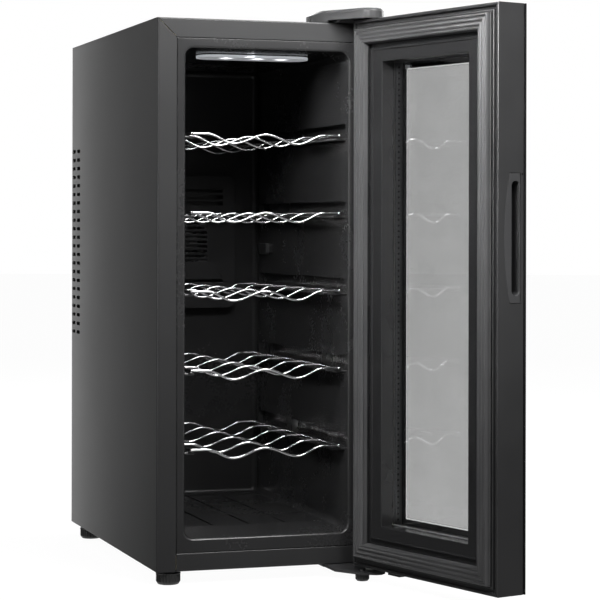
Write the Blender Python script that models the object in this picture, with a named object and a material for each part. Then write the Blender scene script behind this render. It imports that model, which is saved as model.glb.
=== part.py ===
"""Free-standing wine cooler with a glass door that is hinged on its right side.

The cabinet is a box of folded sheet around a foamed plastic liner. Five wire racks slide in
the liner. A thermoelectric module in its back wall moves heat to a fan-blown sink in the rear
compartment. The door holds a double pane and swings on two pins. Metres, +Z up, floor at Z = 0.
The front of the cabinet faces -Y. Sizes below are in the cabinet's own frame: X from its
centre line, Y from its front plane, towards the back.
"""

import math

import bmesh
import bpy
from mathutils import Matrix, Vector

# The cabinet
WIDTH = 0.260
DEPTH = 0.4388
HEIGHT = 0.6216
FOOT_HEIGHT = 0.0155
LOW = FOOT_HEIGHT
TOP = LOW + HEIGHT
SIDE = WIDTH / 2
SHEET = 0.001
GAP = 0.0003
SIDE_FLANGE = 0.0224
TOP_FLANGE = 0.0213
RAIL_HEIGHT = 0.0200

# The liner and its racks
CAVITY_X = 0.0973
CAVITY_LOW = LOW + 0.0362
CAVITY_HIGH = LOW + 0.588
CAVITY_DEPTH = 0.350
CAVITY_CORNER = 0.009
LINER_WALL = 0.002
LINER_FLOOR = LOW + 0.040
RACK_LEVELS = [LOW + 0.135 + 0.0893 * level for level in range(5)]
RACK_WIRES = [0.008 + 0.064 * wire for wire in range(6)]
ROD_X = 0.0884
ROD_RADIUS = 0.002
WIRE_RADIUS = 0.0015
WAVE_FLAT = 0.0696
WAVE_TROUGH = 0.0384
WAVE_DEPTH = 0.0105

# The cooling unit in the back wall
MODULE_Z = LOW + 0.3675
FOAM_BACK = 0.3915
REAR_FAN = 0.080
INNER_FAN = 0.060

# The door, in its closed place
DOOR_GAP = 0.008
DOOR_THICK = 0.0388
DOOR_FRONT = -DOOR_GAP
DOOR_LOW = LOW + 0.0005
DOOR_HIGH = TOP + 0.0012
GLASS_THICK = 0.003
PIVOT_X = 0.11653
PIVOT_Y = -0.02477
OPEN_ANGLE = math.radians(105.5)

# The open door makes the whole object wider and deeper than the cabinet alone. The cabinet
# stands off the origin by these, so that the origin is under the middle of the whole.
CENTRE_X = 0.0368205
CENTRE_Y = 0.0865923

BLACK = (0.018, 0.018, 0.019)


def clear_scene():
    for thing in list(bpy.data.objects):
        bpy.data.objects.remove(thing, do_unlink=True)


def new_collection(name):
    made = bpy.data.collections.new(name)
    bpy.context.scene.collection.children.link(made)
    return made


def new_empty(name, place, turn=0.0, parent=None):
    made = bpy.data.objects.new(name, None)
    PARTS.objects.link(made)
    made.parent = parent
    made.location = place
    made.rotation_euler.z = turn
    return made


def finish(name, color, roughness, metallic=0.0, transmission=0.0):
    """A plain Principled material, made once for each name."""
    made = bpy.data.materials.get(name)
    if made:
        return made
    made = bpy.data.materials.new(name)
    made.use_nodes = True
    shader = made.node_tree.nodes["Principled BSDF"]
    shader.inputs["Base Color"].default_value = (*color, 1)
    shader.inputs["Roughness"].default_value = roughness
    shader.inputs["Metallic"].default_value = metallic
    shader.inputs["Transmission Weight"].default_value = transmission
    made.diffuse_color = (*color, 1)
    return made


def painted_sheet():
    return finish("painted_sheet", BLACK, 0.35)


def black_plastic():
    return finish("black_plastic", BLACK, 0.3)


def matt_plastic():
    return finish("matt_plastic", (0.03, 0.03, 0.032), 0.55)


def soft_rubber():
    return finish("soft_rubber", (0.03, 0.03, 0.03), 0.7)


def bright_wire():
    return finish("bright_wire", (0.8, 0.8, 0.82), 0.12, 1.0)


def plated_steel():
    return finish("plated_steel", (0.55, 0.56, 0.58), 0.3, 1.0)


def raw_aluminium():
    return finish("raw_aluminium", (0.7, 0.71, 0.73), 0.35, 1.0)


def clear_glass():
    return finish("clear_glass", (0.75, 0.78, 0.78), 0.03, 0.0, 0.9)


def white_foam():
    return finish("white_foam", (0.8, 0.76, 0.6), 0.9)


def circuit_green():
    return finish("circuit_green", (0.02, 0.16, 0.06), 0.5)


def white_ceramic():
    return finish("white_ceramic", (0.85, 0.85, 0.84), 0.4)


def shape(mesh):
    """A loose object that becomes a sub-part or a tool."""
    return bpy.data.objects.new("shape", mesh)


def from_bmesh(work):
    mesh = bpy.data.meshes.new("shape")
    bmesh.ops.recalc_face_normals(work, faces=work.faces)
    work.to_mesh(mesh)
    work.free()
    return shape(mesh)


def block(low, high):
    work = bmesh.new()
    bmesh.ops.create_cube(work, size=1)
    size = Vector(high) - Vector(low)
    bmesh.ops.scale(work, vec=size, verts=work.verts)
    bmesh.ops.translate(work, vec=Vector(low) + size / 2, verts=work.verts)
    return from_bmesh(work)


def blocks(corners):
    """Several separate boxes as one tool."""
    work = bmesh.new()
    for low, high in corners:
        size = Vector(high) - Vector(low)
        made = bmesh.ops.create_cube(work, size=1)["verts"]
        bmesh.ops.scale(work, vec=size, verts=made)
        bmesh.ops.translate(work, vec=Vector(low) + size / 2, verts=made)
    return from_bmesh(work)


def along(axis):
    """The turn that takes local +Z to the named axis and keeps outlines upright."""
    if axis == "Y":
        return Matrix.Rotation(math.radians(90), 4, "X")
    if axis == "X":
        return Matrix(((0, 0, 1, 0), (1, 0, 0, 0), (0, 1, 0, 0), (0, 0, 0, 1)))
    return Matrix.Identity(4)


def cylinder(centre, radius, length, axis="Z", sides=20):
    """A closed cylinder that starts at centre and runs along the axis."""
    work = bmesh.new()
    turn = Matrix.Rotation(math.radians(-90), 4, "X") if axis == "Y" else along(axis)
    place = Matrix.Translation(centre) @ turn @ Matrix.Translation((0, 0, length / 2))
    bmesh.ops.create_cone(
        work,
        cap_ends=True,
        segments=sides,
        radius1=radius,
        radius2=radius,
        depth=length,
        matrix=place,
    )
    return from_bmesh(work)


def slab(outlines, low, high, axis="Z"):
    """A flat outline of the given thickness. Later outlines inside the first are holes.

    Along Z an outline is in X and Y, along Y in X and Z, and along X in Y and Z.
    """
    curve = bpy.data.curves.new("outline", "CURVE")
    curve.dimensions = "2D"
    curve.fill_mode = "BOTH"
    curve.extrude = (high - low) / 2
    for outline in outlines:
        spline = curve.splines.new("POLY")
        spline.points.add(len(outline) - 1)
        for point, (across, up) in zip(spline.points, outline):
            point.co = (across, up, 0, 1)
        spline.use_cyclic_u = True
    holder = bpy.data.objects.new("outline", curve)
    bpy.context.scene.collection.objects.link(holder)
    bpy.context.view_layer.update()
    graph = bpy.context.evaluated_depsgraph_get()
    mesh = bpy.data.meshes.new_from_object(holder.evaluated_get(graph))
    bpy.data.objects.remove(holder)
    work = bmesh.new()
    work.from_mesh(mesh)
    bmesh.ops.remove_doubles(work, verts=work.verts, dist=1e-6)
    middle = (high + low) / 2
    place = along(axis) @ Matrix.Translation((0, 0, -middle if axis == "Y" else middle))
    bmesh.ops.transform(work, matrix=place, verts=work.verts)
    return from_bmesh(work)


def rectangle(low, high, corner=0.0, steps=4):
    """A rectangle's outline, with its corners rounded by arcs."""
    (x0, y0), (x1, y1) = low, high
    if not corner:
        return [(x0, y0), (x1, y0), (x1, y1), (x0, y1)]
    centres = [
        (x1 - corner, y0 + corner, -90),
        (x1 - corner, y1 - corner, 0),
        (x0 + corner, y1 - corner, 90),
        (x0 + corner, y0 + corner, 180),
    ]
    return [
        (
            x + corner * math.cos(math.radians(start + 90 * step / steps)),
            y + corner * math.sin(math.radians(start + 90 * step / steps)),
        )
        for x, y, start in centres
        for step in range(steps + 1)
    ]


def circle(x, y, radius, sides=20):
    return [
        (
            x + radius * math.cos(2 * math.pi * side / sides),
            y + radius * math.sin(2 * math.pi * side / sides),
        )
        for side in range(sides)
    ]


def turned(profile, place, steps=20):
    """A profile of (radius, height) points turned about the upright axis at place.

    A profile that starts on the axis is solid. One that does not is a closed outline: a tube.
    """
    work = bmesh.new()
    rings = []
    for radius, height in profile:
        if radius == 0:
            rings.append([work.verts.new((place[0], place[1], height))] * steps)
            continue
        corners = circle(place[0], place[1], radius, steps)
        rings.append([work.verts.new((x, y, height)) for x, y in corners])
    pairs = list(zip(rings, rings[1:]))
    if profile[0][0] > 0:
        pairs.append((rings[-1], rings[0]))
    for here, there in pairs:
        for side in range(steps):
            after = (side + 1) % steps
            corners = [here[side], here[after], there[after], there[side]]
            work.faces.new(list(dict.fromkeys(corners)))
    return from_bmesh(work)


def mitred_ring(profile, low, high, front):
    """A frame around the rectangle from low to high in X and Z, with mitred corners.

    The profile's closed outline holds (inset from the rectangle, depth in front of front).
    """
    work = bmesh.new()
    loops = []
    for inset, depth in profile:
        x0, z0 = low[0] + inset, low[1] + inset
        x1, z1 = high[0] - inset, high[1] - inset
        y = front - depth
        corners = [(x0, y, z0), (x1, y, z0), (x1, y, z1), (x0, y, z1)]
        loops.append([work.verts.new(corner) for corner in corners])
    for here, there in zip(loops, loops[1:] + loops[:1]):
        for side in range(4):
            after = (side + 1) % 4
            work.faces.new((here[side], here[after], there[after], there[side]))
    return from_bmesh(work)


def tool(made, parent):
    """Keeps a cutter or a piece to be joined as a wire guide that no render shows."""
    made.name = "tool"
    TOOLS.objects.link(made)
    made.hide_render = True
    made.display_type = "WIRE"
    made.parent = parent
    made.location = made.location + offset_in(parent)
    return made


def offset_in(parent):
    """Sub-parts are drawn in the cabinet's frame, also under the empty on the door's axis."""
    return Vector((-PIVOT_X, -PIVOT_Y, 0)) if parent and parent.name == "door_axis" else Vector()


def sub_part(name, made, look, parent, join=(), cut=(), keep=None):
    """Names a shape, gives it its look and parent, and joins and cuts it with tools."""
    made.name = name
    made.data.name = name
    PARTS.objects.link(made)
    made.parent = parent
    made.location = made.location + offset_in(parent)
    made.data.materials.append(look)
    wanted = [("UNION", other) for other in join] + [("DIFFERENCE", other) for other in cut]
    if keep:
        wanted.append(("INTERSECT", keep))
    for operation, other in wanted:
        if not other.users_collection:
            tool(other, parent)
        change = made.modifiers.new(operation.lower(), "BOOLEAN")
        change.operation = operation
        change.solver = "EXACT"
        change.object = other
    return made


# Cabinet shell


def vent_slots(x_low, x_high):
    """Two columns of level slots beside the rear compartment."""
    slots = []
    for row in range(22):
        z = LOW + 0.2503 + 0.01116 * row
        for y in (0.4010, 0.4275):
            slots.append(((x_low, y - 0.00875, z - 0.00205), (x_high, y + 0.00875, z + 0.00205)))
    return blocks(slots)


def mitre_cutter(side):
    """What the top panel's front flange takes from a side panel's flange."""
    outer, inner = side * (SIDE + 0.001), side * (SIDE - SIDE_FLANGE - 0.001)
    slope = TOP_FLANGE / SIDE_FLANGE
    outline = [
        (outer, TOP - GAP + 0.001 * slope),
        (inner, TOP - GAP - TOP_FLANGE - 0.001 * slope),
        (inner, TOP + 0.01),
        (outer, TOP + 0.01),
    ]
    return slab([outline], -0.001, SHEET + 0.0002, "Y")


def build_side_panel(name, side, parent):
    outer, inner = side * SIDE, side * (SIDE - SHEET)
    edge = side * (SIDE - SIDE_FLANGE)
    outline = [
        (outer, 0),
        (edge, 0),
        (edge, SHEET),
        (inner, SHEET),
        (inner, DEPTH),
        (outer, DEPTH),
    ]
    made = slab([outline], LOW, TOP - SHEET - GAP)
    low, high = sorted((side * (SIDE - 0.003), side * (SIDE + 0.003)))
    sub_part(name, made, painted_sheet(), parent, cut=[vent_slots(low, high), mitre_cutter(side)])


def build_top_panel(parent, screw_holes):
    outline = [
        (0, TOP - TOP_FLANGE),
        (SHEET, TOP - TOP_FLANGE),
        (SHEET, TOP - SHEET),
        (DEPTH, TOP - SHEET),
        (DEPTH, TOP),
        (0, TOP),
    ]
    made = slab([outline], -SIDE, SIDE, "X")
    corners = []
    for side in (-1, 1):
        outer, inner = side * (SIDE + 0.001), side * (SIDE - SIDE_FLANGE)
        outline = [
            (outer, TOP - SHEET - GAP / 2),
            (side * (SIDE - SHEET), TOP - SHEET - GAP / 2),
            (inner, TOP - TOP_FLANGE),
            (inner, TOP - TOP_FLANGE - 0.001),
            (outer, TOP - TOP_FLANGE - 0.001),
        ]
        corners.append(slab([outline], -0.001, SHEET + 0.0001, "Y"))
    sub_part("top_panel", made, painted_sheet(), parent, cut=corners + screw_holes)


def build_base_pan(parent, holes):
    inside = SIDE - SHEET - GAP
    made = block((-inside, SHEET + GAP, LOW), (inside, DEPTH - 0.003, LOW + SHEET))
    sub_part("base_pan", made, painted_sheet(), parent, cut=holes)


def build_front_rail(parent):
    inside = SIDE - SIDE_FLANGE - GAP
    made = block((-inside, 0, LOW), (inside, SHEET, LOW + RAIL_HEIGHT))
    sub_part("front_rail", made, painted_sheet(), parent)


def build_rear_cover(parent, inlet_hole):
    """The back sheet, with a grille behind the fan and air slots above and below it."""
    inside = SIDE - SHEET - GAP
    low, high = DEPTH - 0.0022, DEPTH - 0.001
    made = block((-inside, low, LOW), (inside, high, TOP - SHEET - GAP))
    slots = []
    for row in range(11):
        z = MODULE_Z - 0.040 + 0.008 * row
        slots.append(((-0.042, low - 0.002, z - 0.002), (-0.0015, high + 0.002, z + 0.002)))
        slots.append(((0.0015, low - 0.002, z - 0.002), (0.042, high + 0.002, z + 0.002)))
    for row in range(5):
        for z in (LOW + 0.120 + 0.009 * row, TOP - 0.060 - 0.009 * row):
            slots.append(((-0.060, low - 0.002, z - 0.002), (0.060, high + 0.002, z + 0.002)))
    sub_part("rear_cover", made, painted_sheet(), parent, cut=[blocks(slots), inlet_hole])


def build_foam(parent, holes):
    """Foam between the shell and the liner, in front of the rear compartment."""
    side = SIDE - SHEET - GAP
    made = block(
        (-side, SHEET + GAP, LOW + SHEET + GAP), (side, FOAM_BACK, TOP - SHEET - GAP)
    )
    wall = LINER_WALL + GAP
    well = block(
        (-CAVITY_X - wall, -0.01, CAVITY_LOW - wall),
        (CAVITY_X + wall, CAVITY_DEPTH + wall, CAVITY_HIGH + wall),
    )
    edge = SIDE - SIDE_FLANGE + GAP
    rim = block(
        (-edge, -0.01, LOW + RAIL_HEIGHT - GAP), (edge, 0.0022, TOP - TOP_FLANGE + GAP)
    )
    sub_part("insulation_foam", made, white_foam(), parent, cut=[well, rim] + holes)


# Liner, lamp and racks


def build_liner(parent, window):
    """The plastic tub: a tube of rounded section, a back, a front rim and the rack ledges."""
    inner = rectangle((-CAVITY_X, CAVITY_LOW), (CAVITY_X, CAVITY_HIGH), CAVITY_CORNER)
    wall = LINER_WALL
    outer = rectangle(
        (-CAVITY_X - wall, CAVITY_LOW - wall),
        (CAVITY_X + wall, CAVITY_HIGH + wall),
        CAVITY_CORNER + wall,
    )
    edge = SIDE - SIDE_FLANGE - GAP
    rim_outline = rectangle((-edge, LOW + RAIL_HEIGHT + GAP), (edge, TOP - TOP_FLANGE - GAP))
    rim = slab([rim_outline, inner], 0.0002, 0.0018, "Y")
    tube = slab([outer, inner], 0.0010, CAVITY_DEPTH + 0.0005, "Y")
    back = slab([outer], CAVITY_DEPTH, CAVITY_DEPTH + wall, "Y")
    floor = slab(
        [
            [
                (0.0005, CAVITY_LOW - 0.001),
                (CAVITY_DEPTH + 0.001, CAVITY_LOW - 0.001),
                (CAVITY_DEPTH + 0.001, LINER_FLOOR),
                (0.062, LINER_FLOOR),
                (0.0005, CAVITY_LOW + 0.0005),
            ]
        ],
        -CAVITY_X - 0.001,
        CAVITY_X + 0.001,
        "X",
    )
    ledges = []
    for level in RACK_LEVELS:
        top = level - ROD_RADIUS - GAP
        for side in (-1, 1):
            low, high = sorted((side * 0.0835, side * (CAVITY_X + 0.001)))
            ledges.append(((low, 0.004, top - 0.003), (high, 0.334, top)))
    joined = [tube, back, floor, blocks(ledges)]
    sub_part("inner_liner", rim, black_plastic(), parent, join=joined, cut=[window])


def build_lamp(parent):
    """The light bar on the liner's ceiling: a board with three diodes behind a clear lens."""
    outline = rectangle((-0.063, 0.052), (0.071, 0.098), 0.0215)
    hollow = rectangle((-0.0615, 0.0535), (0.0695, 0.0965), 0.020)
    lens_low = CAVITY_HIGH - 0.0060
    lens = slab([outline], lens_low, CAVITY_HIGH - GAP)
    inside = slab([hollow], lens_low + 0.0015, CAVITY_HIGH + 0.001)
    sub_part("lamp_lens", lens, clear_glass(), parent, cut=[inside])
    board = block((-0.050, 0.064, CAVITY_HIGH - 0.0022), (0.058, 0.086, CAVITY_HIGH - 0.0006))
    diodes = [
        ((x - 0.0025, 0.0725, CAVITY_HIGH - 0.0036), (x + 0.0025, 0.0775, CAVITY_HIGH - 0.0020))
        for x in (-0.030, 0.008, 0.037)
    ]
    sub_part("lamp_board", board, circuit_green(), parent, join=[blocks(diodes)])


def build_sensor(parent):
    """The temperature sensor's clip on the liner's right wall."""
    outline = rectangle((0.296, LOW + 0.352), (0.326, LOW + 0.366), 0.004)
    made = slab([outline], 0.0915, CAVITY_X - GAP, "X")
    sub_part("temperature_sensor", made, matt_plastic(), parent)


def wave_height(x):
    """A rack wire's height over its ends: flat by the rods, two troughs and a middle crest."""
    if abs(x) >= WAVE_FLAT:
        return 0.0
    if abs(x) > WAVE_TROUGH:
        share = (WAVE_FLAT - abs(x)) / (WAVE_FLAT - WAVE_TROUGH)
    else:
        share = abs(x) / WAVE_TROUGH
    return -WAVE_DEPTH / 2 * (1 - math.cos(math.pi * share))


def build_rack(name, level, parent):
    """Six wavy wires welded between two side rods."""
    curve = bpy.data.curves.new(name, "CURVE")
    curve.dimensions = "3D"
    curve.bevel_depth = WIRE_RADIUS
    curve.bevel_resolution = 1
    curve.use_fill_caps = True
    half = [0.0, 0.013, 0.0255, WAVE_TROUGH, 0.049, 0.060, WAVE_FLAT, ROD_X]
    places = [-x for x in half[:0:-1]] + half
    for y in RACK_WIRES:
        spline = curve.splines.new("POLY")
        spline.points.add(len(places) - 1)
        for point, x in zip(spline.points, places):
            point.co = (x, y, level + wave_height(x), 1)
    holder = bpy.data.objects.new("wires", curve)
    bpy.context.scene.collection.objects.link(holder)
    bpy.context.view_layer.update()
    graph = bpy.context.evaluated_depsgraph_get()
    mesh = bpy.data.meshes.new_from_object(holder.evaluated_get(graph))
    bpy.data.objects.remove(holder)
    work = bmesh.new()
    work.from_mesh(mesh)
    bmesh.ops.remove_doubles(work, verts=work.verts, dist=1e-5)
    wires = from_bmesh(work)
    length = RACK_WIRES[-1] - RACK_WIRES[0] + 0.006
    rods = [
        cylinder((x, RACK_WIRES[0] - 0.003, level), ROD_RADIUS, length, "Y", 8)
        for x in (-ROD_X, ROD_X)
    ]
    sub_part(name, rods[0], bright_wire(), parent, join=[wires, rods[1]])


# Cooling unit


def fan_frame(size, low, high, hub_radius):
    """A square frame with a round duct, and a hub on three arms at its back."""
    middle = (0, MODULE_Z)
    square = rectangle(
        (-size / 2, MODULE_Z - size / 2), (size / 2, MODULE_Z + size / 2), 0.004, 2
    )
    duct = circle(*middle, size / 2 - 0.0025, 32)
    frame = slab([square, duct], low, high, "Y")
    hub = cylinder((0, high - 0.0025, MODULE_Z), hub_radius, 0.0025, "Y", 24)
    pin = cylinder((0, low + 0.002, MODULE_Z), 0.0015, high - low - 0.003, "Y", 12)
    arms = []
    for turn in (90, 210, 330):
        arm = block((0, high - 0.0022, -0.002), (size / 2 - 0.001, high - 0.0003, 0.002))
        arm.data.transform(Matrix.Rotation(math.radians(-turn), 4, "Y"))
        arm.data.transform(Matrix.Translation((0, 0, MODULE_Z)))
        arms.append(arm)
    return frame, [hub, pin] + arms


def fan_rotor(name, size, low, high, hub_radius, parent):
    """A hub with seven pitched blades, on the axis of its own empty."""
    hub = slab(
        [circle(0, MODULE_Z, hub_radius, 24), circle(0, MODULE_Z, 0.0019, 12)], low, high, "Y"
    )
    blades = bmesh.new()
    reach = size / 2 - 0.0045
    chord = (high - low) * 0.80
    for number in range(7):
        made = bmesh.ops.create_cube(blades, size=1)["verts"]
        bmesh.ops.scale(blades, vec=(reach - hub_radius + 0.003, 0.0014, chord * 1.25), verts=made)
        bmesh.ops.rotate(
            blades, cent=(0, 0, 0), matrix=Matrix.Rotation(math.radians(52), 3, "X"), verts=made
        )
        bmesh.ops.translate(
            blades, vec=((reach + hub_radius - 0.003) / 2, (low + high) / 2, 0), verts=made
        )
        turn = Matrix.Rotation(2 * math.pi * number / 7, 3, "Y")
        bmesh.ops.rotate(blades, cent=(0, 0, 0), matrix=turn, verts=made)
        bmesh.ops.translate(blades, vec=(0, 0, MODULE_Z), verts=made)
    sub_part(name, hub, matt_plastic(), parent, join=[from_bmesh(blades)])


def finned_sink(width, height, base_low, base_high, fin_end, fins):
    """A comb outline in X and Y drawn up along Z: a base with fins on one side."""
    half = width / 2
    pitch = (width - 0.0016) / (fins - 1)
    outline = [(half, base_high), (-half, base_high)]
    if fin_end > base_high:
        outline = [(half, base_low), (-half, base_low)]
    root = base_low if fin_end < base_low else base_high
    for fin in range(fins):
        x = -half + pitch * fin
        outline += [(x, root), (x, fin_end), (x + 0.0016, fin_end), (x + 0.0016, root)]
    cleaned = [p for p, q in zip(outline, outline[1:] + outline[:1]) if p != q]
    return slab([cleaned], MODULE_Z - height / 2, MODULE_Z + height / 2)


def build_cooling_unit(parent, inner_fan_axis, rear_fan_axis):
    cold = finned_sink(0.080, 0.110, 0.3690, 0.3730, 0.3512, 10)
    sub_part("cold_sink", cold, raw_aluminium(), parent)
    half = 0.020
    block_low = (-half, 0.3733, MODULE_Z - half)
    cold_block = block(block_low, (half, 0.3900, MODULE_Z + half))
    sub_part("cold_block", cold_block, raw_aluminium(), parent)
    module_low = (-half, 0.3903, MODULE_Z - half)
    module = block(module_low, (half, 0.3941, MODULE_Z + half))
    sub_part("thermoelectric_module", module, white_ceramic(), parent)
    hot = finned_sink(0.100, 0.130, 0.3944, 0.3994, 0.4180, 14)
    sub_part("hot_sink", hot, raw_aluminium(), parent)
    frame, pieces = fan_frame(INNER_FAN, 0.3365, 0.3485, 0.0135)
    sub_part("inner_fan_frame", frame, matt_plastic(), parent, join=pieces)
    fan_rotor("inner_fan_rotor", INNER_FAN, 0.3372, 0.3455, 0.0125, inner_fan_axis)
    frame, pieces = fan_frame(REAR_FAN, 0.4185, 0.4335, 0.0185)
    sub_part("rear_fan_frame", frame, matt_plastic(), parent, join=pieces)
    fan_rotor("rear_fan_rotor", REAR_FAN, 0.4192, 0.4305, 0.0170, rear_fan_axis)


def build_duct_cover(parent):
    """The cover over the inner fan, with a grille in front of the fan and open ends."""
    low, high = (-0.062, MODULE_Z - 0.085), (0.062, MODULE_Z + 0.085)
    made = slab([rectangle(low, high, 0.010)], 0.3335, CAVITY_DEPTH - GAP, "Y")
    inside = slab(
        [rectangle((-0.060, low[1] + 0.002), (0.060, high[1] - 0.002), 0.008)],
        0.3355,
        CAVITY_DEPTH + 0.002,
        "Y",
    )
    slots = []
    for row in range(9):
        z = MODULE_Z - 0.024 + 0.006 * row
        slots.append(((-0.024, 0.332, z - 0.0015), (0.024, 0.337, z + 0.0015)))
    for row in range(3):
        for z in (MODULE_Z - 0.050 - 0.008 * row, MODULE_Z + 0.050 + 0.008 * row):
            slots.append(((-0.045, 0.332, z - 0.002), (0.045, 0.337, z + 0.002)))
    sub_part("fan_duct_cover", made, black_plastic(), parent, cut=[inside, blocks(slots)])


def build_power_board(parent):
    """The power supply and thermostat board in the rear compartment."""
    back = FOAM_BACK + GAP
    z = LOW + 0.165
    board = block((-0.055, back, z - 0.045), (0.055, back + 0.0016, z + 0.045))
    top = back + 0.0010
    parts = blocks(
        [
            ((-0.045, top, z - 0.030), (-0.013, back + 0.0280, z + 0.004)),
            ((0.010, top, z + 0.010), (0.045, back + 0.0200, z + 0.014)),
            ((0.010, top, z + 0.022), (0.045, back + 0.0200, z + 0.026)),
            ((-0.045, top, z + 0.020), (-0.015, back + 0.0100, z + 0.036)),
        ]
    )
    cans = [
        cylinder((x, top, z - 0.018), 0.008, 0.024, "Y", 16) for x in (0.008, 0.028, 0.046)
    ]
    sub_part("power_board", board, circuit_green(), parent, join=[parts] + cans)


def build_power_inlet(parent):
    """The mains socket in the back, with three flat pins standing in its well."""
    x, z = 0.080, LOW + 0.060
    flange = rectangle((x - 0.025, z - 0.0115), (x + 0.025, z + 0.0115), 0.006)
    made = slab([flange], DEPTH - 0.001 + GAP, DEPTH + 0.0012, "Y")
    body = slab([rectangle((x - 0.0135, z - 0.0098), (x + 0.0135, z + 0.0098), 0.003)],
                DEPTH - 0.024, DEPTH, "Y")
    well = slab([rectangle((x - 0.0118, z - 0.0080), (x + 0.0118, z + 0.0080), 0.003)],
                DEPTH - 0.020, DEPTH + 0.003, "Y")
    pins = blocks(
        [
            ((x + across - 0.001, DEPTH - 0.021, z + up - 0.002),
             (x + across + 0.001, DEPTH - 0.003, z + up + 0.002))
            for across, up in ((-0.007, -0.002), (0, 0.002), (0.007, -0.002))
        ]
    )
    made = sub_part("power_inlet", made, black_plastic(), parent, join=[body], cut=[well])
    change = made.modifiers.new("pins", "BOOLEAN")
    change.operation = "UNION"
    change.object = tool(pins, parent)


def inlet_hole():
    x, z = 0.080, LOW + 0.060
    return block((x - 0.0142, DEPTH - 0.006, z - 0.0105), (x + 0.0142, DEPTH + 0.002, z + 0.0105))


# Feet and hinges


def foot_profile(radius, top):
    return [
        (0, top),
        (radius - 0.0012, top),
        (radius, top - 0.0012),
        (radius, 0.0035),
        (radius - 0.0025, 0),
        (0, 0),
    ]


def build_feet(parent, left_foot, right_foot):
    for name, x in (("rear_left_foot", -0.115), ("rear_right_foot", 0.115)):
        made = turned(foot_profile(0.014, LOW - GAP), (x, 0.390, 0))
        sub_part(name, made, soft_rubber(), parent)
    studded = foot_profile(0.014, LOW - GAP)
    studded[0:1] = [(0, LOW + 0.014), (0.003, LOW + 0.014), (0.003, LOW - GAP)]
    made = turned(studded, (-0.112, 0.017, 0))
    sub_part("front_left_foot", made, soft_rubber(), left_foot)
    top = LOW - 0.007 - GAP
    studded = foot_profile(0.0083, top)
    studded[0:1] = [(0, top + 0.0050), (0.003, top + 0.0050), (0.003, top)]
    made = turned(studded, (0.104, -0.030, 0))
    sub_part("front_right_foot", made, soft_rubber(), right_foot)


def screw(x, y, seat, down):
    """A pan-head screw whose head sits on the plate at seat. Its shank points down or up."""
    way = -1 if down else 1
    points = [
        (0, seat - way * 0.0023),
        (0.0030, seat - way * 0.0023),
        (0.0040, seat - way * 0.0012),
        (0.0040, seat - way * GAP),
        (0.0018, seat - way * GAP),
        (0.0018, seat + way * 0.0115),
        (0, seat + way * 0.0115),
    ]
    return turned(points if down else points[::-1], (x, y, 0), 12)


UPPER_SCREWS = [(0.084, 0.030), (0.114, 0.036)]
LOWER_SCREWS = [(0.086, 0.026), (0.116, 0.034)]


def build_upper_hinge(parent):
    """A plate on the top that rises a step in front, over the door, and carries the pin."""
    low = TOP + GAP
    side_view = [
        (0.048, low),
        (-0.0010, low),
        (-0.0045, low + 0.0028),
        (-0.060, low + 0.0028),
        (-0.060, low + 0.0053),
        (-0.0030, low + 0.0053),
        (0.0005, low + 0.0025),
        (0.048, low + 0.0025),
    ]
    outline = [
        (0.072, 0.046),
        (0.072, 0.014),
        (0.103, -0.027),
        (0.108, -0.0335),
        (0.1165, -0.0365),
        (0.1222, -0.0335),
        (0.1245, -0.026),
        (0.1245, 0.046),
    ]
    made = slab([side_view], 0.060, 0.132, "X")
    drills = [
        cylinder((x, y, low - 0.003), radius, 0.012, "Z", 12)
        for x, y, radius in [(x, y, 0.0023) for x, y in UPPER_SCREWS] + [(PIVOT_X, PIVOT_Y, 0.0034)]
    ]
    plan = slab([outline], low - 0.004, low + 0.008)
    sub_part("upper_hinge_plate", made, plated_steel(), parent, cut=drills, keep=plan)
    head = low + 0.0053
    pin = [
        (0, head + 0.0025),
        (0.0050, head + 0.0025),
        (0.0055, head + 0.0018),
        (0.0055, head + GAP),
        (0.0030, head + GAP),
        (0.0030, DOOR_HIGH - 0.0112),
        (0.0022, DOOR_HIGH - 0.0120),
        (0, DOOR_HIGH - 0.0120),
    ]
    sub_part("upper_hinge_pin", turned(pin, (PIVOT_X, PIVOT_Y, 0)), plated_steel(), parent)
    for number, (x, y) in enumerate(UPPER_SCREWS, 1):
        made = screw(x, y, low + 0.0025, True)
        sub_part("upper_hinge_screw_%d" % number, made, plated_steel(), parent)


def build_hinge_cover(parent):
    """The plastic cap over the upper hinge, open below, with chamfered top edges."""
    bottom, top = TOP + GAP, TOP + 0.0145
    outline = [
        (0.1265, 0.056),
        (0.064, 0.056),
        (0.064, 0.008),
        (0.100, -0.0435),
        (0.104, -0.0465),
        (0.110, -0.0480),
        (0.117, -0.0470),
        (0.1225, -0.0435),
        (0.1258, -0.0385),
        (0.1265, -0.0330),
    ]
    middle = Vector((0.100, 0.010))

    def shrunk(inset):
        corners = [Vector(corner) for corner in outline]
        return [tuple(here - (here - middle).normalized() * inset) for here in corners]

    work = bmesh.new()
    loops = []
    for inset, z in ((0, bottom), (0, top - 0.003), (0.0035, top)):
        loops.append([work.verts.new((x, y, z)) for x, y in shrunk(inset)])
    for here, there in zip(loops, loops[1:]):
        for side in range(len(outline)):
            after = (side + 1) % len(outline)
            work.faces.new((here[side], here[after], there[after], there[side]))
    work.faces.new(loops[-1])
    work.faces.new(loops[0][::-1])
    made = from_bmesh(work)
    hollow = slab([shrunk(0.0020)], bottom - 0.002, top - 0.0036)
    over_door = block((0.05, -0.06, bottom - 0.003), (0.14, -0.0006, TOP + 0.0026))
    sub_part("hinge_cover", made, matt_plastic(), parent, cut=[hollow, over_door])


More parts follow.
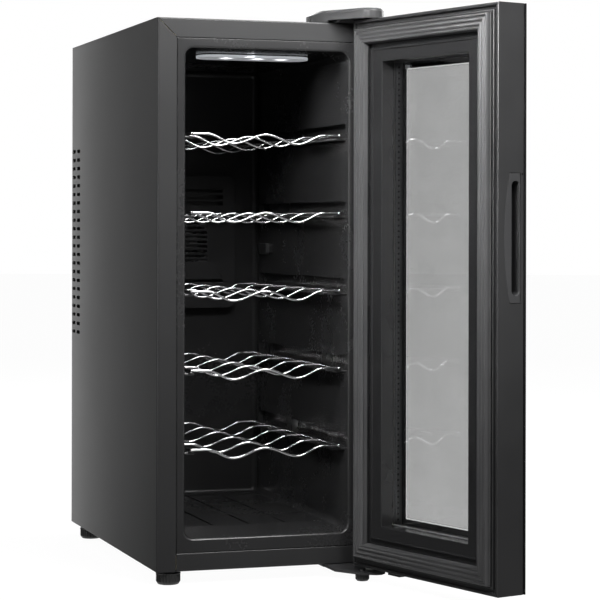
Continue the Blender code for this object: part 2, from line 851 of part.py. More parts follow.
def build_lower_hinge(parent):
    """A plate under the base that drops a step in front and carries the pin and a foot."""
    side_view = [
        (0.048, LOW - GAP),
        (0.0, LOW - GAP),
        (-0.012, LOW - 0.0042),
        (-0.055, LOW - 0.0042),
        (-0.055, LOW - 0.0070),
        (-0.012, LOW - 0.0070),
        (0.0, LOW - 0.0031),
        (0.048, LOW - 0.0031),
    ]
    made = slab([side_view], 0.060, 0.132, "X")
    plan = slab(
        [
            [
                (0.068, 0.046),
                (0.068, 0.002),
                (0.093, -0.036),
                (0.098, -0.042),
                (0.114, -0.050),
                (0.120, -0.050),
                (0.127, -0.043),
                (0.127, 0.046),
            ]
        ],
        LOW - 0.012,
        LOW + 0.004,
    )
    drills = [
        cylinder((x, y, LOW - 0.012), radius, 0.016, "Z", 12)
        for x, y, radius in [(x, y, 0.0023) for x, y in LOWER_SCREWS]
        + [(0.104, -0.030, 0.0035), (PIVOT_X, PIVOT_Y, 0.0034)]
    ]
    made = sub_part("lower_hinge_plate", made, plated_steel(), parent, cut=drills, keep=plan)
    pin = [
        (0, DOOR_LOW + 0.0120),
        (0.0022, DOOR_LOW + 0.0120),
        (0.0030, DOOR_LOW + 0.0112),
        (0.0030, LOW - 0.0070 - GAP),
        (0.0050, LOW - 0.0070 - GAP),
        (0.0050, LOW - 0.0090),
        (0, LOW - 0.0090),
    ]
    sub_part("lower_hinge_pin", turned(pin, (PIVOT_X, PIVOT_Y, 0)), plated_steel(), parent)
    washer_low, washer_high = LOW - 0.0042 + GAP, DOOR_LOW - 0.0014
    washer = slab(
        [circle(PIVOT_X, PIVOT_Y, 0.0065, 20), circle(PIVOT_X, PIVOT_Y, 0.0034, 16)],
        washer_low,
        washer_high,
    )
    sub_part("lower_hinge_washer", washer, white_ceramic(), parent)
    for number, (x, y) in enumerate(LOWER_SCREWS, 1):
        made = screw(x, y, LOW - 0.0031, False)
        sub_part("lower_hinge_screw_%d" % number, made, plated_steel(), parent)


def screw_drills():
    """Where the hinges' screws and the left foot's stud go through the shell and the foam."""
    upper = [cylinder((x, y, TOP - 0.016), 0.0023, 0.018, "Z", 12) for x, y in UPPER_SCREWS]
    lower = [cylinder((x, y, LOW - 0.001), 0.0023, 0.014, "Z", 12) for x, y in LOWER_SCREWS]
    stud = cylinder((-0.112, 0.017, LOW - 0.001), 0.0036, 0.017, "Z", 12)
    return upper, lower + [stud]


# Door

FRAME_LOW = (-SIDE, DOOR_LOW)
FRAME_HIGH = (SIDE, DOOR_HIGH)


def door_ring(profile):
    """A frame with mitred corners. Depths run from the door's inner face to its front."""
    return mitred_ring(profile, FRAME_LOW, FRAME_HIGH, DOOR_FRONT)


def bushing_drill(low):
    return cylinder((PIVOT_X, PIVOT_Y, low), 0.0048, 0.006, "Z", 20)


def handle_outline(grow):
    """The D of the hand grip in depth and height, offset outwards by grow."""
    middle = LOW + 0.3755
    half = 0.0685 + grow
    arc = []
    for step in range(11):
        share = 2 * step / 10 - 1
        depth = 0.0085 - grow + (0.0165 - 0.0085) * abs(share) ** 2.2
        arc.append((DOOR_FRONT - depth, middle + half * share))
    back = DOOR_FRONT - 0.0305 - grow
    return arc + [(back, middle + half), (back, middle - half)]


def build_door_frame(parent):
    profile = [
        (0, 0),
        (0.0095, 0),
        (0.0095, 0.0022),
        (0.0022, 0.0022),
        (0.0022, 0.0333),
        (0.0240, 0.0333),
        (0.0240, 0.0355),
        (0, 0.0355),
    ]
    grip = slab([handle_outline(GAP)], -SIDE - 0.002, -SIDE + 0.0030, "X")
    cuts = [grip, bushing_drill(DOOR_HIGH - 0.004), bushing_drill(DOOR_LOW - 0.002)]
    sub_part("door_outer_frame", door_ring(profile), matt_plastic(), parent, cut=cuts)


def build_door_inner_frame(parent):
    """The inner moulding: a flat rim with a seal groove, a sloping border and the window's wall."""
    profile = [
        (0.0098, 0),
        (0.0180, 0),
        (0.0180, 0.0040),
        (0.0215, 0.0040),
        (0.0215, 0),
        (0.0325, 0),
        (0.0527, 0.0030),
        (0.0527, 0.0187),
        (0.0507, 0.0187),
        (0.0507, 0.0048),
        (0.0325, 0.0020),
        (0.0235, 0.0020),
        (0.0235, 0.0060),
        (0.0160, 0.0060),
        (0.0160, 0.0020),
        (0.0098, 0.0020),
    ]
    sub_part("door_inner_frame", door_ring(profile), black_plastic(), parent)


def build_gasket(parent):
    profile = [
        (0.0105, -GAP),
        (0.0125, -0.0072),
        (0.0290, -0.0072),
        (0.0310, -GAP),
        (0.0210, -GAP),
        (0.0210, 0.0036),
        (0.0185, 0.0036),
        (0.0185, -GAP),
    ]
    sub_part("door_gasket", door_ring(profile), soft_rubber(), parent)


def build_door_glass(parent):
    front = DOOR_FRONT - DOOR_THICK
    outer = block(
        (-SIDE, front, DOOR_LOW), (SIDE, front + GLASS_THICK, DOOR_HIGH)
    )
    sub_part("outer_glass", outer, clear_glass(), parent)
    inset = 0.0440
    inner_y = DOOR_FRONT - 0.0190
    inner = block(
        (-SIDE + inset, inner_y - GLASS_THICK, DOOR_LOW + inset),
        (SIDE - inset, inner_y, DOOR_HIGH - inset),
    )
    sub_part("inner_glass", inner, clear_glass(), parent)
    spacer = [(0.0442, 0.0223), (0.0498, 0.0223), (0.0498, 0.0354), (0.0442, 0.0354)]
    sub_part("glass_spacer", door_ring(spacer), raw_aluminium(), parent)
    foam = [(0.0245, 0.0065), (0.0437, 0.0065), (0.0437, 0.0320), (0.0245, 0.0320)]
    sub_part("door_foam", door_ring(foam), white_foam(), parent)


def build_handle(parent):
    """The hand grip: a D-shaped face in the door's free edge around a deep finger slot."""
    middle = LOW + 0.3755
    face = slab([handle_outline(0)], -SIDE + 0.0004, -SIDE + 0.0040, "X")
    flange = slab([handle_outline(0.0015)], -SIDE + 0.0025, -SIDE + 0.0040, "X")
    outer = rectangle(
        (DOOR_FRONT - 0.0312, middle - 0.0620), (DOOR_FRONT - 0.0170, middle + 0.0620), 0.005
    )
    inner = rectangle(
        (DOOR_FRONT - 0.0293, middle - 0.0600), (DOOR_FRONT - 0.0190, middle + 0.0600), 0.0045
    )
    pocket = slab([outer], -SIDE + 0.0030, -SIDE + 0.0215, "X")
    slot = slab([inner], -SIDE - 0.001, -SIDE + 0.0198, "X")
    sub_part("hand_grip", face, matt_plastic(), parent, join=[flange, pocket], cut=[slot])


def bushing_profile(wall_top, tip):
    """A flanged tube: its flange rests on the door's edge and its tube runs to tip."""
    way = 1 if wall_top > tip else -1
    points = [
        (0.0075, wall_top + way * 0.0010),
        (0.0075, wall_top + way * 0.0002),
        (0.0044, wall_top + way * 0.0002),
        (0.0044, tip),
        (0.0034, tip),
        (0.0034, wall_top + way * 0.0010),
    ]
    return points if way > 0 else points[::-1]


def build_bushings(parent):
    for name, edge, tip in (
        ("upper_bushing", DOOR_HIGH, DOOR_HIGH - 0.0125),
        ("lower_bushing", DOOR_LOW, DOOR_LOW + 0.0125),
    ):
        made = turned(bushing_profile(edge, tip), (PIVOT_X, PIVOT_Y, 0))
        sub_part(name, made, white_ceramic(), parent)


def build_door_stop(parent):
    """The tab under the door that stops it against the lower hinge."""
    x = PIVOT_X
    made = block(
        (x - 0.066, DOOR_FRONT - 0.016, DOOR_LOW - 0.0042),
        (x - 0.044, DOOR_FRONT - 0.008, DOOR_LOW - GAP),
    )
    sub_part("door_stop", made, matt_plastic(), parent)


def build_touch_board(parent):
    """The touch controls' board, behind the dark border at the top of the front glass."""
    high = DOOR_HIGH - 0.026
    made = block(
        (-0.050, DOOR_FRONT - 0.0354, high - 0.0175), (0.050, DOOR_FRONT - 0.0338, high)
    )
    chips = blocks(
        [
            ((x - 0.005, DOOR_FRONT - 0.0345, high - 0.013), (x + 0.005, DOOR_FRONT - 0.0325, high - 0.005))
            for x in (-0.030, 0.0, 0.030)
        ]
    )
    sub_part("touch_board", made, circuit_green(), parent, join=[chips])


def smooth_round_parts():
    for made in PARTS.objects:
        if made.type == "MESH":
            made.data.shade_smooth()
            made.data.set_sharp_from_angle(angle=math.radians(30))


def build_cabinet(root):
    upper_drills, lower_drills = screw_drills()
    build_side_panel("left_side_panel", -1, root)
    build_side_panel("right_side_panel", 1, root)
    build_top_panel(root, upper_drills)
    build_base_pan(root, lower_drills)
    build_front_rail(root)
    build_rear_cover(root, inlet_hole())
    window = block(
        (-0.0425, CAVITY_DEPTH - 0.003, MODULE_Z - 0.0575),
        (0.0425, 0.3735, MODULE_Z + 0.0575),
    )
    sink_well = block(
        (-0.0430, CAVITY_DEPTH, MODULE_Z - 0.058), (0.0430, 0.3734, MODULE_Z + 0.058)
    )
    tunnel = block((-0.0203, 0.3730, MODULE_Z - 0.0203), (0.0203, 0.40, MODULE_Z + 0.0203))
    build_foam(root, upper_drills + lower_drills + [sink_well, tunnel])
    build_liner(root, window)
    build_lamp(root)
    build_sensor(root)
    build_duct_cover(root)
    build_power_board(root)
    build_power_inlet(root)
    build_upper_hinge(root)
    build_hinge_cover(root)
    build_lower_hinge(root)


def build_door(door):
    build_door_frame(door)
    build_door_inner_frame(door)
    build_gasket(door)
    build_door_glass(door)
    build_handle(door)
    build_bushings(door)
    build_door_stop(door)
    build_touch_board(door)


def build_wine_cooler():
    root = new_empty("wine_cooler", (-CENTRE_X, -CENTRE_Y, 0))
    build_cabinet(root)
    inner_axis = new_empty("inner_fan_axis", (0, 0, 0), parent=root)
    rear_axis = new_empty("rear_fan_axis", (0, 0, 0), parent=root)
    build_cooling_unit(root, inner_axis, rear_axis)
    left_foot = new_empty("left_foot_slide", (0, 0, 0), parent=root)
    right_foot = new_empty("right_foot_slide", (0, 0, 0), parent=root)
    build_feet(root, left_foot, right_foot)
    for number, level in enumerate(RACK_LEVELS, 1):
        slide = new_empty("rack_%d_slide" % number, (0, 0, 0), parent=root)
        build_rack("rack_%d" % number, level, slide)
    door = new_empty("door_axis", (PIVOT_X, PIVOT_Y, 0), OPEN_ANGLE, root)
    build_door(door)
    smooth_round_parts()


clear_scene()
PARTS = new_collection("wine_cooler")
TOOLS = new_collection("cutters")
build_wine_cooler()
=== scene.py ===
"""Looks of the wine cooler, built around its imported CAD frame.

Shapes are drawn in the cabinet's own frame, X from its centre line, Y from its front plane and
Z from the floor, and then moved to where the CAD has the cabinet. Door pieces are drawn with the
door closed, and turned open about the hinge.
"""

import math

import bmesh
import bpy
from mathutils import Matrix, Vector


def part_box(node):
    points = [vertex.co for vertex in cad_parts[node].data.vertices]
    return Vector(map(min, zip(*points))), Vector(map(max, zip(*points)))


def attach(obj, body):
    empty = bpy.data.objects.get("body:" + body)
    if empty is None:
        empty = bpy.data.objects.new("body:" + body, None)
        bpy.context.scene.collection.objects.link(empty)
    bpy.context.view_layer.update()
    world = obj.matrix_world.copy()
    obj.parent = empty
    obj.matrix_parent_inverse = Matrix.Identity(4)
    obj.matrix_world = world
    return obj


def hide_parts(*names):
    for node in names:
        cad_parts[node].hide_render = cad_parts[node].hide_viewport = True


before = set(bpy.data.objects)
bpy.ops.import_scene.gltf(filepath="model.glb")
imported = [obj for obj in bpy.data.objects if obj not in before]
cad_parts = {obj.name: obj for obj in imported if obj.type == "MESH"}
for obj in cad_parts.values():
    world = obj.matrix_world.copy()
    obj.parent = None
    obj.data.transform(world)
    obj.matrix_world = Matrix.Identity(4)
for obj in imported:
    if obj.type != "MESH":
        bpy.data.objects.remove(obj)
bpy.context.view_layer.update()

# Sizes that the CAD boxes give
PANEL_LOW, PANEL_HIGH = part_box("left_side_panel")
WIDTH = 0.260
SIDE = WIDTH / 2
ORIGIN = Vector((PANEL_LOW.x + SIDE, PANEL_LOW.y, 0))
LOW = PANEL_LOW.z
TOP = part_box("top_panel")[1].z
DEPTH = PANEL_HIGH.y - PANEL_LOW.y
PIN_LOW, PIN_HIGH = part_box("upper_hinge_pin")
PIVOT = (PIN_LOW + PIN_HIGH) / 2 - ORIGIN
PIVOT.z = 0
OPEN = math.radians(105.5)  # the door in the photograph
GAP = 0.0003
SHEET = 0.001
TOP_FLANGE = 0.0213
SIDE_FLANGE = 0.0224

# Liner
CAVITY_X = 0.0973
CAVITY_LOW = LOW + 0.0362
CAVITY_HIGH = LOW + 0.588
CAVITY_DEPTH = 0.350
FLOOR = LOW + 0.040
RAIL = 0.0200

# Racks
RACK_LOWEST, RACK_PITCH = 0.135, 0.0893
RACKS = [LOW + RACK_LOWEST + RACK_PITCH * level for level in range(5)]
ROD_X, ROD_RADIUS = 0.0884, 0.002
WIRE_PITCH, WIRE_RADIUS = 0.064, 0.0015
WIRES_Y = [0.008 + WIRE_PITCH * wire for wire in range(6)]
WAVE_END, WAVE_DIP, WAVE_DEPTH = 0.0696, 0.0384, 0.0105

# Door
DOOR_FRONT = -0.008
DOOR_LOW = LOW + 0.0005
DOOR_HIGH = TOP + 0.0012
HANDLE_Z = LOW + 0.3755
MODULE_Z = LOW + 0.3675

PLACE = Matrix.Translation(ORIGIN)
DOOR_PLACE = (
    PLACE @ Matrix.Translation(PIVOT) @ Matrix.Rotation(OPEN, 4, "Z") @ Matrix.Translation(-PIVOT)
)


# ---------------------------------------------------------------- mesh helpers


def close(work):
    bmesh.ops.recalc_face_normals(work, faces=work.faces)
    return work


def loft(work, rings, cyclic=False, caps=(True, True)):
    """Joins rings of equally many points with faces. Points are (x, y, z)."""
    loops = [[work.verts.new(point) for point in ring] for ring in rings]
    count = len(loops[0])
    pairs = list(zip(loops, loops[1:]))
    if cyclic:
        pairs.append((loops[-1], loops[0]))
    for here, there in pairs:
        for side in range(count):
            after = (side + 1) % count
            work.faces.new((here[side], here[after], there[after], there[side]))
    if not cyclic:
        if caps[0]:
            work.faces.new(loops[0][::-1])
        if caps[1]:
            work.faces.new(loops[-1])
    return loops


def rounded(x0, z0, x1, z1, radius, steps=6):
    """Outline of a rectangle with arcs at its corners, always with the same number of points."""
    radius = max(radius, 1e-5)
    corners = [
        (x1 - radius, z0 + radius, -90),
        (x1 - radius, z1 - radius, 0),
        (x0 + radius, z1 - radius, 90),
        (x0 + radius, z0 + radius, 180),
    ]
    return [
        (
            x + radius * math.cos(math.radians(start + 90 * step / steps)),
            z + radius * math.sin(math.radians(start + 90 * step / steps)),
        )
        for x, z, start in corners
        for step in range(steps + 1)
    ]


def box(work, low, high):
    made = bmesh.ops.create_cube(work, size=1)["verts"]
    size = Vector(high) - Vector(low)
    bmesh.ops.scale(work, vec=size, verts=made)
    bmesh.ops.translate(work, vec=Vector(low) + size / 2, verts=made)
    return made


def circle(across, up, radius, steps):
    """Outline of a circle."""
    turns = [2 * math.pi * step / steps for step in range(steps)]
    return [(across + radius * math.cos(a), up + radius * math.sin(a)) for a in turns]


def along(axis, outline, depth):
    """The points of an outline at a depth: in Y, Z along X; in X, Z along Y; in X, Y along Z."""
    if axis == "X":
        return [(depth, across, up) for across, up in outline]
    if axis == "Y":
        return [(across, depth, up) for across, up in outline]
    return [(across, up, depth) for across, up in outline]


def slab(work, outline, low, high, axis="Z"):
    """An outline with a thickness along the axis."""
    return loft(work, [along(axis, outline, low), along(axis, outline, high)])


def soft_slab(work, outline_at, low, high, axis, edge, steps=3):
    """A slab whose rims on both faces are rounded. outline_at(inset) gives its outline."""
    rings = []
    for step in range(steps + 1):
        turn = math.pi / 2 * step / steps
        rings.append((edge * (1 - math.sin(turn)), low + edge * (1 - math.cos(turn))))
    for step in range(steps + 1):
        turn = math.pi / 2 * (1 - step / steps)
        rings.append((edge * (1 - math.sin(turn)), high - edge * (1 - math.cos(turn))))
    return loft(work, [along(axis, outline_at(inset), depth) for inset, depth in rings])


def turned(work, profile, x, y, steps=48, wave=None):
    """Turns (radius, height) points about the upright axis at x, y."""
    rings = []
    for radius, height in profile:
        if radius < 1e-6:
            rings.append([work.verts.new((x, y, height))])
            continue
        ring = []
        for side in range(steps):
            turn = 2 * math.pi * side / steps
            r = radius * (wave(side, radius, height) if wave else 1)
            ring.append(work.verts.new((x + r * math.cos(turn), y + r * math.sin(turn), height)))
        rings.append(ring)
    for here, there in zip(rings, rings[1:]):
        for side in range(steps):
            after = (side + 1) % steps
            corners = [
                here[side % len(here)],
                here[after % len(here)],
                there[after % len(there)],
                there[side % len(there)],
            ]
            corners = list(dict.fromkeys(corners))
            if len(corners) > 2:
                work.faces.new(corners)
    return rings


def tube(work, path, radius, sides=12, round_ends=True):
    """A round wire along path, with domed ends."""
    points = [Vector(p) for p in path]
    tangents = []
    for i, point in enumerate(points):
        before = points[max(i - 1, 0)]
        after = points[min(i + 1, len(points) - 1)]
        tangents.append((after - before).normalized())
    up = Vector((0, 1, 0)) if abs(tangents[0].y) < 0.9 else Vector((0, 0, 1))
    rings = []

    def ring(centre, tangent, r):
        side = tangent.cross(up).normalized()
        top = side.cross(tangent).normalized()
        return [
            centre
            + side * (r * math.cos(2 * math.pi * k / sides))
            + top * (r * math.sin(2 * math.pi * k / sides))
            for k in range(sides)
        ]

    dome = [math.radians(turn) for turn in (75, 50, 25)] if round_ends else []
    first, last = tangents[0], tangents[-1]
    for a in dome:
        rings.append(ring(points[0] - first * radius * math.sin(a), first, radius * math.cos(a)))
    for point, tangent in zip(points, tangents):
        rings.append(ring(point, tangent, radius))
    for a in reversed(dome):
        rings.append(ring(points[-1] + last * radius * math.sin(a), last, radius * math.cos(a)))
    loft(work, rings)


def bore(work, x, y, radius, low, high):
    """A round upright bar, which cuts a hole for a pin or screw."""
    turned(work, [(0, low), (radius, low), (radius, high), (0, high)], x, y, 16)


def frame_ring(profile):
    """A ring round the door with mitred corners. Its profile is (side inset, end inset, depth)."""
    loops = []
    for inset_x, inset_z, depth in profile:
        x, low, high = SIDE - inset_x, DOOR_LOW + inset_z, DOOR_HIGH - inset_z
        outline = [(-x, low), (x, low), (x, high), (-x, high)]
        loops.append([(across, DOOR_FRONT - depth, up) for across, up in outline])
    work = bmesh.new()
    loft(work, loops, cyclic=True)
    return work


def arc(centre, radius, start, end, steps):
    return [
        (
            centre[0] + radius * math.cos(math.radians(start + (end - start) * i / steps)),
            centre[1] + radius * math.sin(math.radians(start + (end - start) * i / steps)),
        )
        for i in range(steps + 1)
    ]


def bake_modifiers(made):
    """Applies a piece's modifiers, so that what is shown is what the mesh holds."""
    bpy.context.view_layer.update()
    graph = bpy.context.evaluated_depsgraph_get()
    mesh = bpy.data.meshes.new_from_object(made.evaluated_get(graph))
    mesh.name = made.name
    made.modifiers.clear()
    made.data = mesh


def cut_away(made, cut, place=None):
    """Cuts the shape in the bmesh cut from a piece."""
    mesh = bpy.data.meshes.new("cutter")
    close(cut).to_mesh(mesh)
    cut.free()
    if place:
        mesh.transform(place)
    cutter = bpy.data.objects.new("cutter", mesh)
    bpy.context.scene.collection.objects.link(cutter)
    change = made.modifiers.new("cut", "BOOLEAN")
    change.operation = "DIFFERENCE"
    change.solver = "EXACT"
    change.object = cutter
    bake_modifiers(made)
    bpy.data.objects.remove(cutter)


def bevel_edges(made, width, segments, angle):
    """Adds a bevel along the edges that are sharper than the angle."""
    change = made.modifiers.new("edge", "BEVEL")
    change.width = width
    change.segments = segments
    change.limit_method = "ANGLE"
    change.angle_limit = math.radians(angle)


def shade(made, angle):
    """Smooth shading that leaves large faces flat beside their rounded edges."""
    made.data.shade_smooth()
    made.data.set_sharp_from_angle(angle=math.radians(angle))
    change = made.modifiers.new("flat", "WEIGHTED_NORMAL")
    change.keep_sharp = True
    change.weight = 80


def piece(
    name, work, material, body, replaces=(), door=False, bevel=0, segments=2, cut=None,
    smooth=32, angle=40,
):
    """Makes the object: cuts, bevels and shades it, and puts it on its body."""
    mesh = bpy.data.meshes.new(name)
    close(work).to_mesh(mesh)
    work.free()
    made = bpy.data.objects.new(name, mesh)
    bpy.context.scene.collection.objects.link(made)
    if cut is not None:
        cut_away(made, cut)
    if bevel:
        bevel_edges(made, bevel, segments, angle)
        bake_modifiers(made)
    made.data.transform(DOOR_PLACE if door else PLACE)
    made.data.materials.clear()
    made.data.materials.append(material)
    shade(made, smooth)
    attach(made, body)
    if replaces:
        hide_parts(*replaces)
    return made


# ---------------------------------------------------------------- materials


def new_material(name):
    made = bpy.data.materials.new(name)
    made.use_nodes = True
    return made, made.node_tree, made.node_tree.nodes["Principled BSDF"]


def coordinates(tree, scale=(1, 1, 1)):
    place = tree.nodes.new("ShaderNodeTexCoord")
    mapping = tree.nodes.new("ShaderNodeMapping")
    mapping.inputs["Scale"].default_value = scale
    tree.links.new(place.outputs["Object"], mapping.inputs["Vector"])
    return mapping.outputs["Vector"]


def noise(tree, vector, scale, detail=3.0, rough=0.5):
    made = tree.nodes.new("ShaderNodeTexNoise")
    made.inputs["Scale"].default_value = scale
    made.inputs["Detail"].default_value = detail
    made.inputs["Roughness"].default_value = rough
    tree.links.new(vector, made.inputs["Vector"])
    return made.outputs["Fac"]


def spread(tree, value, low, high, span=(0.3, 0.7), kind="LINEAR"):
    """Maps the span of a value to low ... high."""
    made = tree.nodes.new("ShaderNodeMapRange")
    made.interpolation_type = kind
    made.inputs["From Min"].default_value = span[0]
    made.inputs["From Max"].default_value = span[1]
    made.inputs["To Min"].default_value = low
    made.inputs["To Max"].default_value = high
    tree.links.new(value, made.inputs["Value"])
    return made.outputs["Result"]


def reckon(tree, operation, one, two):
    """A Math node. Its second input is a number or another node's output."""
    made = tree.nodes.new("ShaderNodeMath")
    made.operation = operation
    tree.links.new(one, made.inputs[0])
    if isinstance(two, float):
        made.inputs[1].default_value = two
    else:
        tree.links.new(two, made.inputs[1])
    return made.outputs[0]


def blend_colors(tree, factor, one, two):
    made = tree.nodes.new("ShaderNodeMix")
    made.data_type = "RGBA"
    made.inputs["A"].default_value = (*one, 1)
    made.inputs["B"].default_value = (*two, 1)
    tree.links.new(factor, made.inputs["Factor"])
    return made.outputs["Result"]


def bump(tree, shader, height, strength, distance):
    made = tree.nodes.new("ShaderNodeBump")
    made.inputs["Strength"].default_value = strength
    made.inputs["Distance"].default_value = distance
    tree.links.new(height, made.inputs["Height"])
    tree.links.new(made.outputs["Normal"], shader.inputs["Normal"])


def surface(
    name, one, two, rough, metallic=0.0, specular=0.5, blotch=9.0, grain=900.0,
    bump_strength=0.15, bump_distance=0.0001, stretch=(1, 1, 1),
):
    """A moulded, painted or plated surface: slow colour and gloss changes over a fine relief."""
    made, tree, shader = new_material(name)
    slow = noise(tree, coordinates(tree), blotch, 4, 0.55)
    quick = noise(tree, coordinates(tree, stretch), grain, 2, 0.5)
    tree.links.new(
        blend_colors(tree, spread(tree, slow, 0, 1), one, two), shader.inputs["Base Color"]
    )
    mixed = reckon(tree, "ADD", slow, reckon(tree, "MULTIPLY", quick, 0.25))
    tree.links.new(spread(tree, mixed, *rough, (0.35, 0.9)), shader.inputs["Roughness"])
    shader.inputs["Metallic"].default_value = metallic
    shader.inputs["Specular IOR Level"].default_value = specular
    bump(tree, shader, quick, bump_strength, bump_distance)
    return made


def glass(name, color, coat=0.0):
    """Tinted glass with faint smears, and if asked a coat that mirrors more."""
    made, tree, shader = new_material(name)
    smear = noise(tree, coordinates(tree), 14, 4, 0.6)
    tree.links.new(spread(tree, smear, 0.0, 0.02, (0.45, 0.8)), shader.inputs["Roughness"])
    tint = tuple(0.94 * c for c in color)
    tree.links.new(
        blend_colors(tree, spread(tree, smear, 0, 1), color, tint), shader.inputs["Base Color"]
    )
    shader.inputs["Transmission Weight"].default_value = 1.0
    shader.inputs["IOR"].default_value = 1.45
    shader.inputs["Coat Weight"].default_value = coat
    shader.inputs["Coat IOR"].default_value = 2.0
    shader.inputs["Coat Roughness"].default_value = 0.01
    return made


PAINT = surface(
    "satin_paint", (0.021, 0.021, 0.0215), (0.024, 0.024, 0.0245), (0.345, 0.375), grain=650,
    bump_strength=0.10, bump_distance=0.00008, specular=0.5,
)
LINER = surface(
    "liner_plastic", (0.021, 0.021, 0.0215), (0.025, 0.025, 0.0255), (0.22, 0.30), grain=300,
    bump_strength=0.06, bump_distance=0.00008,
)
DOOR_PLASTIC = surface(
    "door_plastic", (0.014, 0.014, 0.0145), (0.019, 0.019, 0.0195), (0.34, 0.46), grain=1500,
    bump_strength=0.22, bump_distance=0.00005,
)
SOFT_BLACK = surface(
    "grained_plastic", (0.022, 0.022, 0.023), (0.030, 0.030, 0.031), (0.42, 0.55), grain=1600,
    bump_strength=0.35, bump_distance=0.00006,
)
GASKET = surface(
    "gasket_vinyl", (0.030, 0.030, 0.031), (0.042, 0.042, 0.043), (0.40, 0.52), grain=500,
    bump_strength=0.12, bump_distance=0.00008,
)
CAP = surface(
    "cap_plastic", (0.040, 0.040, 0.041), (0.046, 0.046, 0.047), (0.20, 0.26), grain=1100,
    bump_strength=0.06, bump_distance=0.00005,
)
RUBBER = surface(
    "foot_rubber", (0.030, 0.030, 0.030), (0.042, 0.042, 0.042), (0.26, 0.36), grain=900,
    bump_strength=0.30, bump_distance=0.0001,
)
CHROME = surface(
    "chromed_wire", (0.52, 0.52, 0.53), (0.62, 0.62, 0.63), (0.13, 0.19), metallic=1.0, grain=260,
    bump_strength=0.05, bump_distance=0.00005,
)
ZINC = surface(
    "zinc_steel", (0.42, 0.43, 0.45), (0.55, 0.56, 0.57), (0.28, 0.42), metallic=1.0, grain=700,
    bump_strength=0.2, bump_distance=0.00005, stretch=(1, 6, 1),
)
BLACK_STEEL = surface(
    "black_steel", (0.020, 0.020, 0.021), (0.030, 0.030, 0.031), (0.32, 0.45), grain=800,
    bump_strength=0.15, bump_distance=0.00006,
)
ALUMINIUM = surface(
    "aluminium", (0.66, 0.67, 0.69), (0.78, 0.79, 0.80), (0.26, 0.38), metallic=1.0, grain=500,
    bump_strength=0.15, bump_distance=0.00005, stretch=(12, 1, 1),
)
SPACER = surface(
    "spacer_aluminium", (0.10, 0.10, 0.105), (0.16, 0.16, 0.165), (0.35, 0.48), metallic=1.0,
    grain=700, bump_strength=0.15, bump_distance=0.00005,
)
# Painted highlight: a pale copy of the spacer lip's metal, laid on the lip's bottom face where
# light from above falls.
LIP_HIGHLIGHT = surface(
    "lip_painted_highlight", (0.78, 0.78, 0.79), (0.86, 0.86, 0.87), (0.45, 0.60), metallic=0.2,
    grain=500, bump_strength=0.10, bump_distance=0.00005,
)
MOULDING = surface(
    "inner_moulding", (0.013, 0.013, 0.0135), (0.017, 0.017, 0.0175), (0.16, 0.22), grain=900,
    bump_strength=0.05, bump_distance=0.00005,
)
PRINT = surface(
    "glass_print", (0.006, 0.006, 0.0065), (0.009, 0.009, 0.0095), (0.12, 0.20), grain=1200,
    bump_strength=0.03, bump_distance=0.00003,
)
FOAM = surface(
    "rigid_foam", (0.66, 0.60, 0.42), (0.78, 0.73, 0.56), (0.85, 0.95), grain=260,
    bump_strength=0.8, bump_distance=0.0006, blotch=40,
)
BOARD = surface(
    "circuit_board", (0.006, 0.07, 0.03), (0.012, 0.12, 0.05), (0.30, 0.45), grain=300,
    bump_strength=0.3, bump_distance=0.00006, blotch=60,
)
WHITE_PLASTIC = surface(
    "white_plastic", (0.72, 0.72, 0.70), (0.82, 0.82, 0.80), (0.35, 0.5), grain=900,
    bump_strength=0.15, bump_distance=0.00005,
)
# Painted shade: a near-black with little gloss, put on discs and dots where holes are, for the
# shade inside them.
HOLE_SHADE = surface(
    "painted_hole_shade", (0.002, 0.002, 0.002), (0.004, 0.004, 0.004), (0.8, 0.9), grain=500,
    bump_strength=0.1, bump_distance=0.00005, specular=0.1,
)
OUTER_GLASS = glass("outer_glass", (0.668, 0.669, 0.668))
INNER_GLASS = glass("inner_glass", (0.86, 0.865, 0.862), coat=1.0)
EDGE_GLASS = glass("edge_glass", (0.985, 0.99, 0.988))


def lamp_material(name, spots, base, glow, reach):
    """A frosted lens that shines most in front of its diodes."""
    made, tree, shader = new_material(name)
    place = tree.nodes.new("ShaderNodeTexCoord")
    total = None
    for spot in spots:
        away = tree.nodes.new("ShaderNodeVectorMath")
        away.operation = "DISTANCE"
        away.inputs[1].default_value = spot
        tree.links.new(place.outputs["Object"], away.inputs[0])
        near = spread(tree, away.outputs["Value"], 0.0, glow, (reach, 0.0), "SMOOTHERSTEP")
        total = reckon(tree, "ADD", total, near) if total else near
    total = reckon(tree, "ADD", total, base)
    frost = noise(tree, place.outputs["Object"], 700, 2, 0.5)
    tree.links.new(spread(tree, frost, 0.25, 0.4), shader.inputs["Roughness"])
    tree.links.new(
        blend_colors(tree, frost, (0.80, 0.82, 0.84), (0.9, 0.91, 0.92)),
        shader.inputs["Base Color"],
    )
    shader.inputs["Transmission Weight"].default_value = 0.25
    shader.inputs["Emission Color"].default_value = (0.93, 0.96, 1.0, 1)
    tree.links.new(total, shader.inputs["Emission Strength"])
    bump(tree, shader, frost, 0.2, 0.0001)
    return made


LED_X = (-0.030, 0.008, 0.037)
LED_Y = 0.068
LED_SPOTS = [tuple(ORIGIN + Vector((x, LED_Y, CAVITY_HIGH - 0.006))) for x in LED_X]
LENS = lamp_material("lamp_lens", LED_SPOTS, 0.20, 3.0, 0.012)


# ---------------------------------------------------------------- cabinet


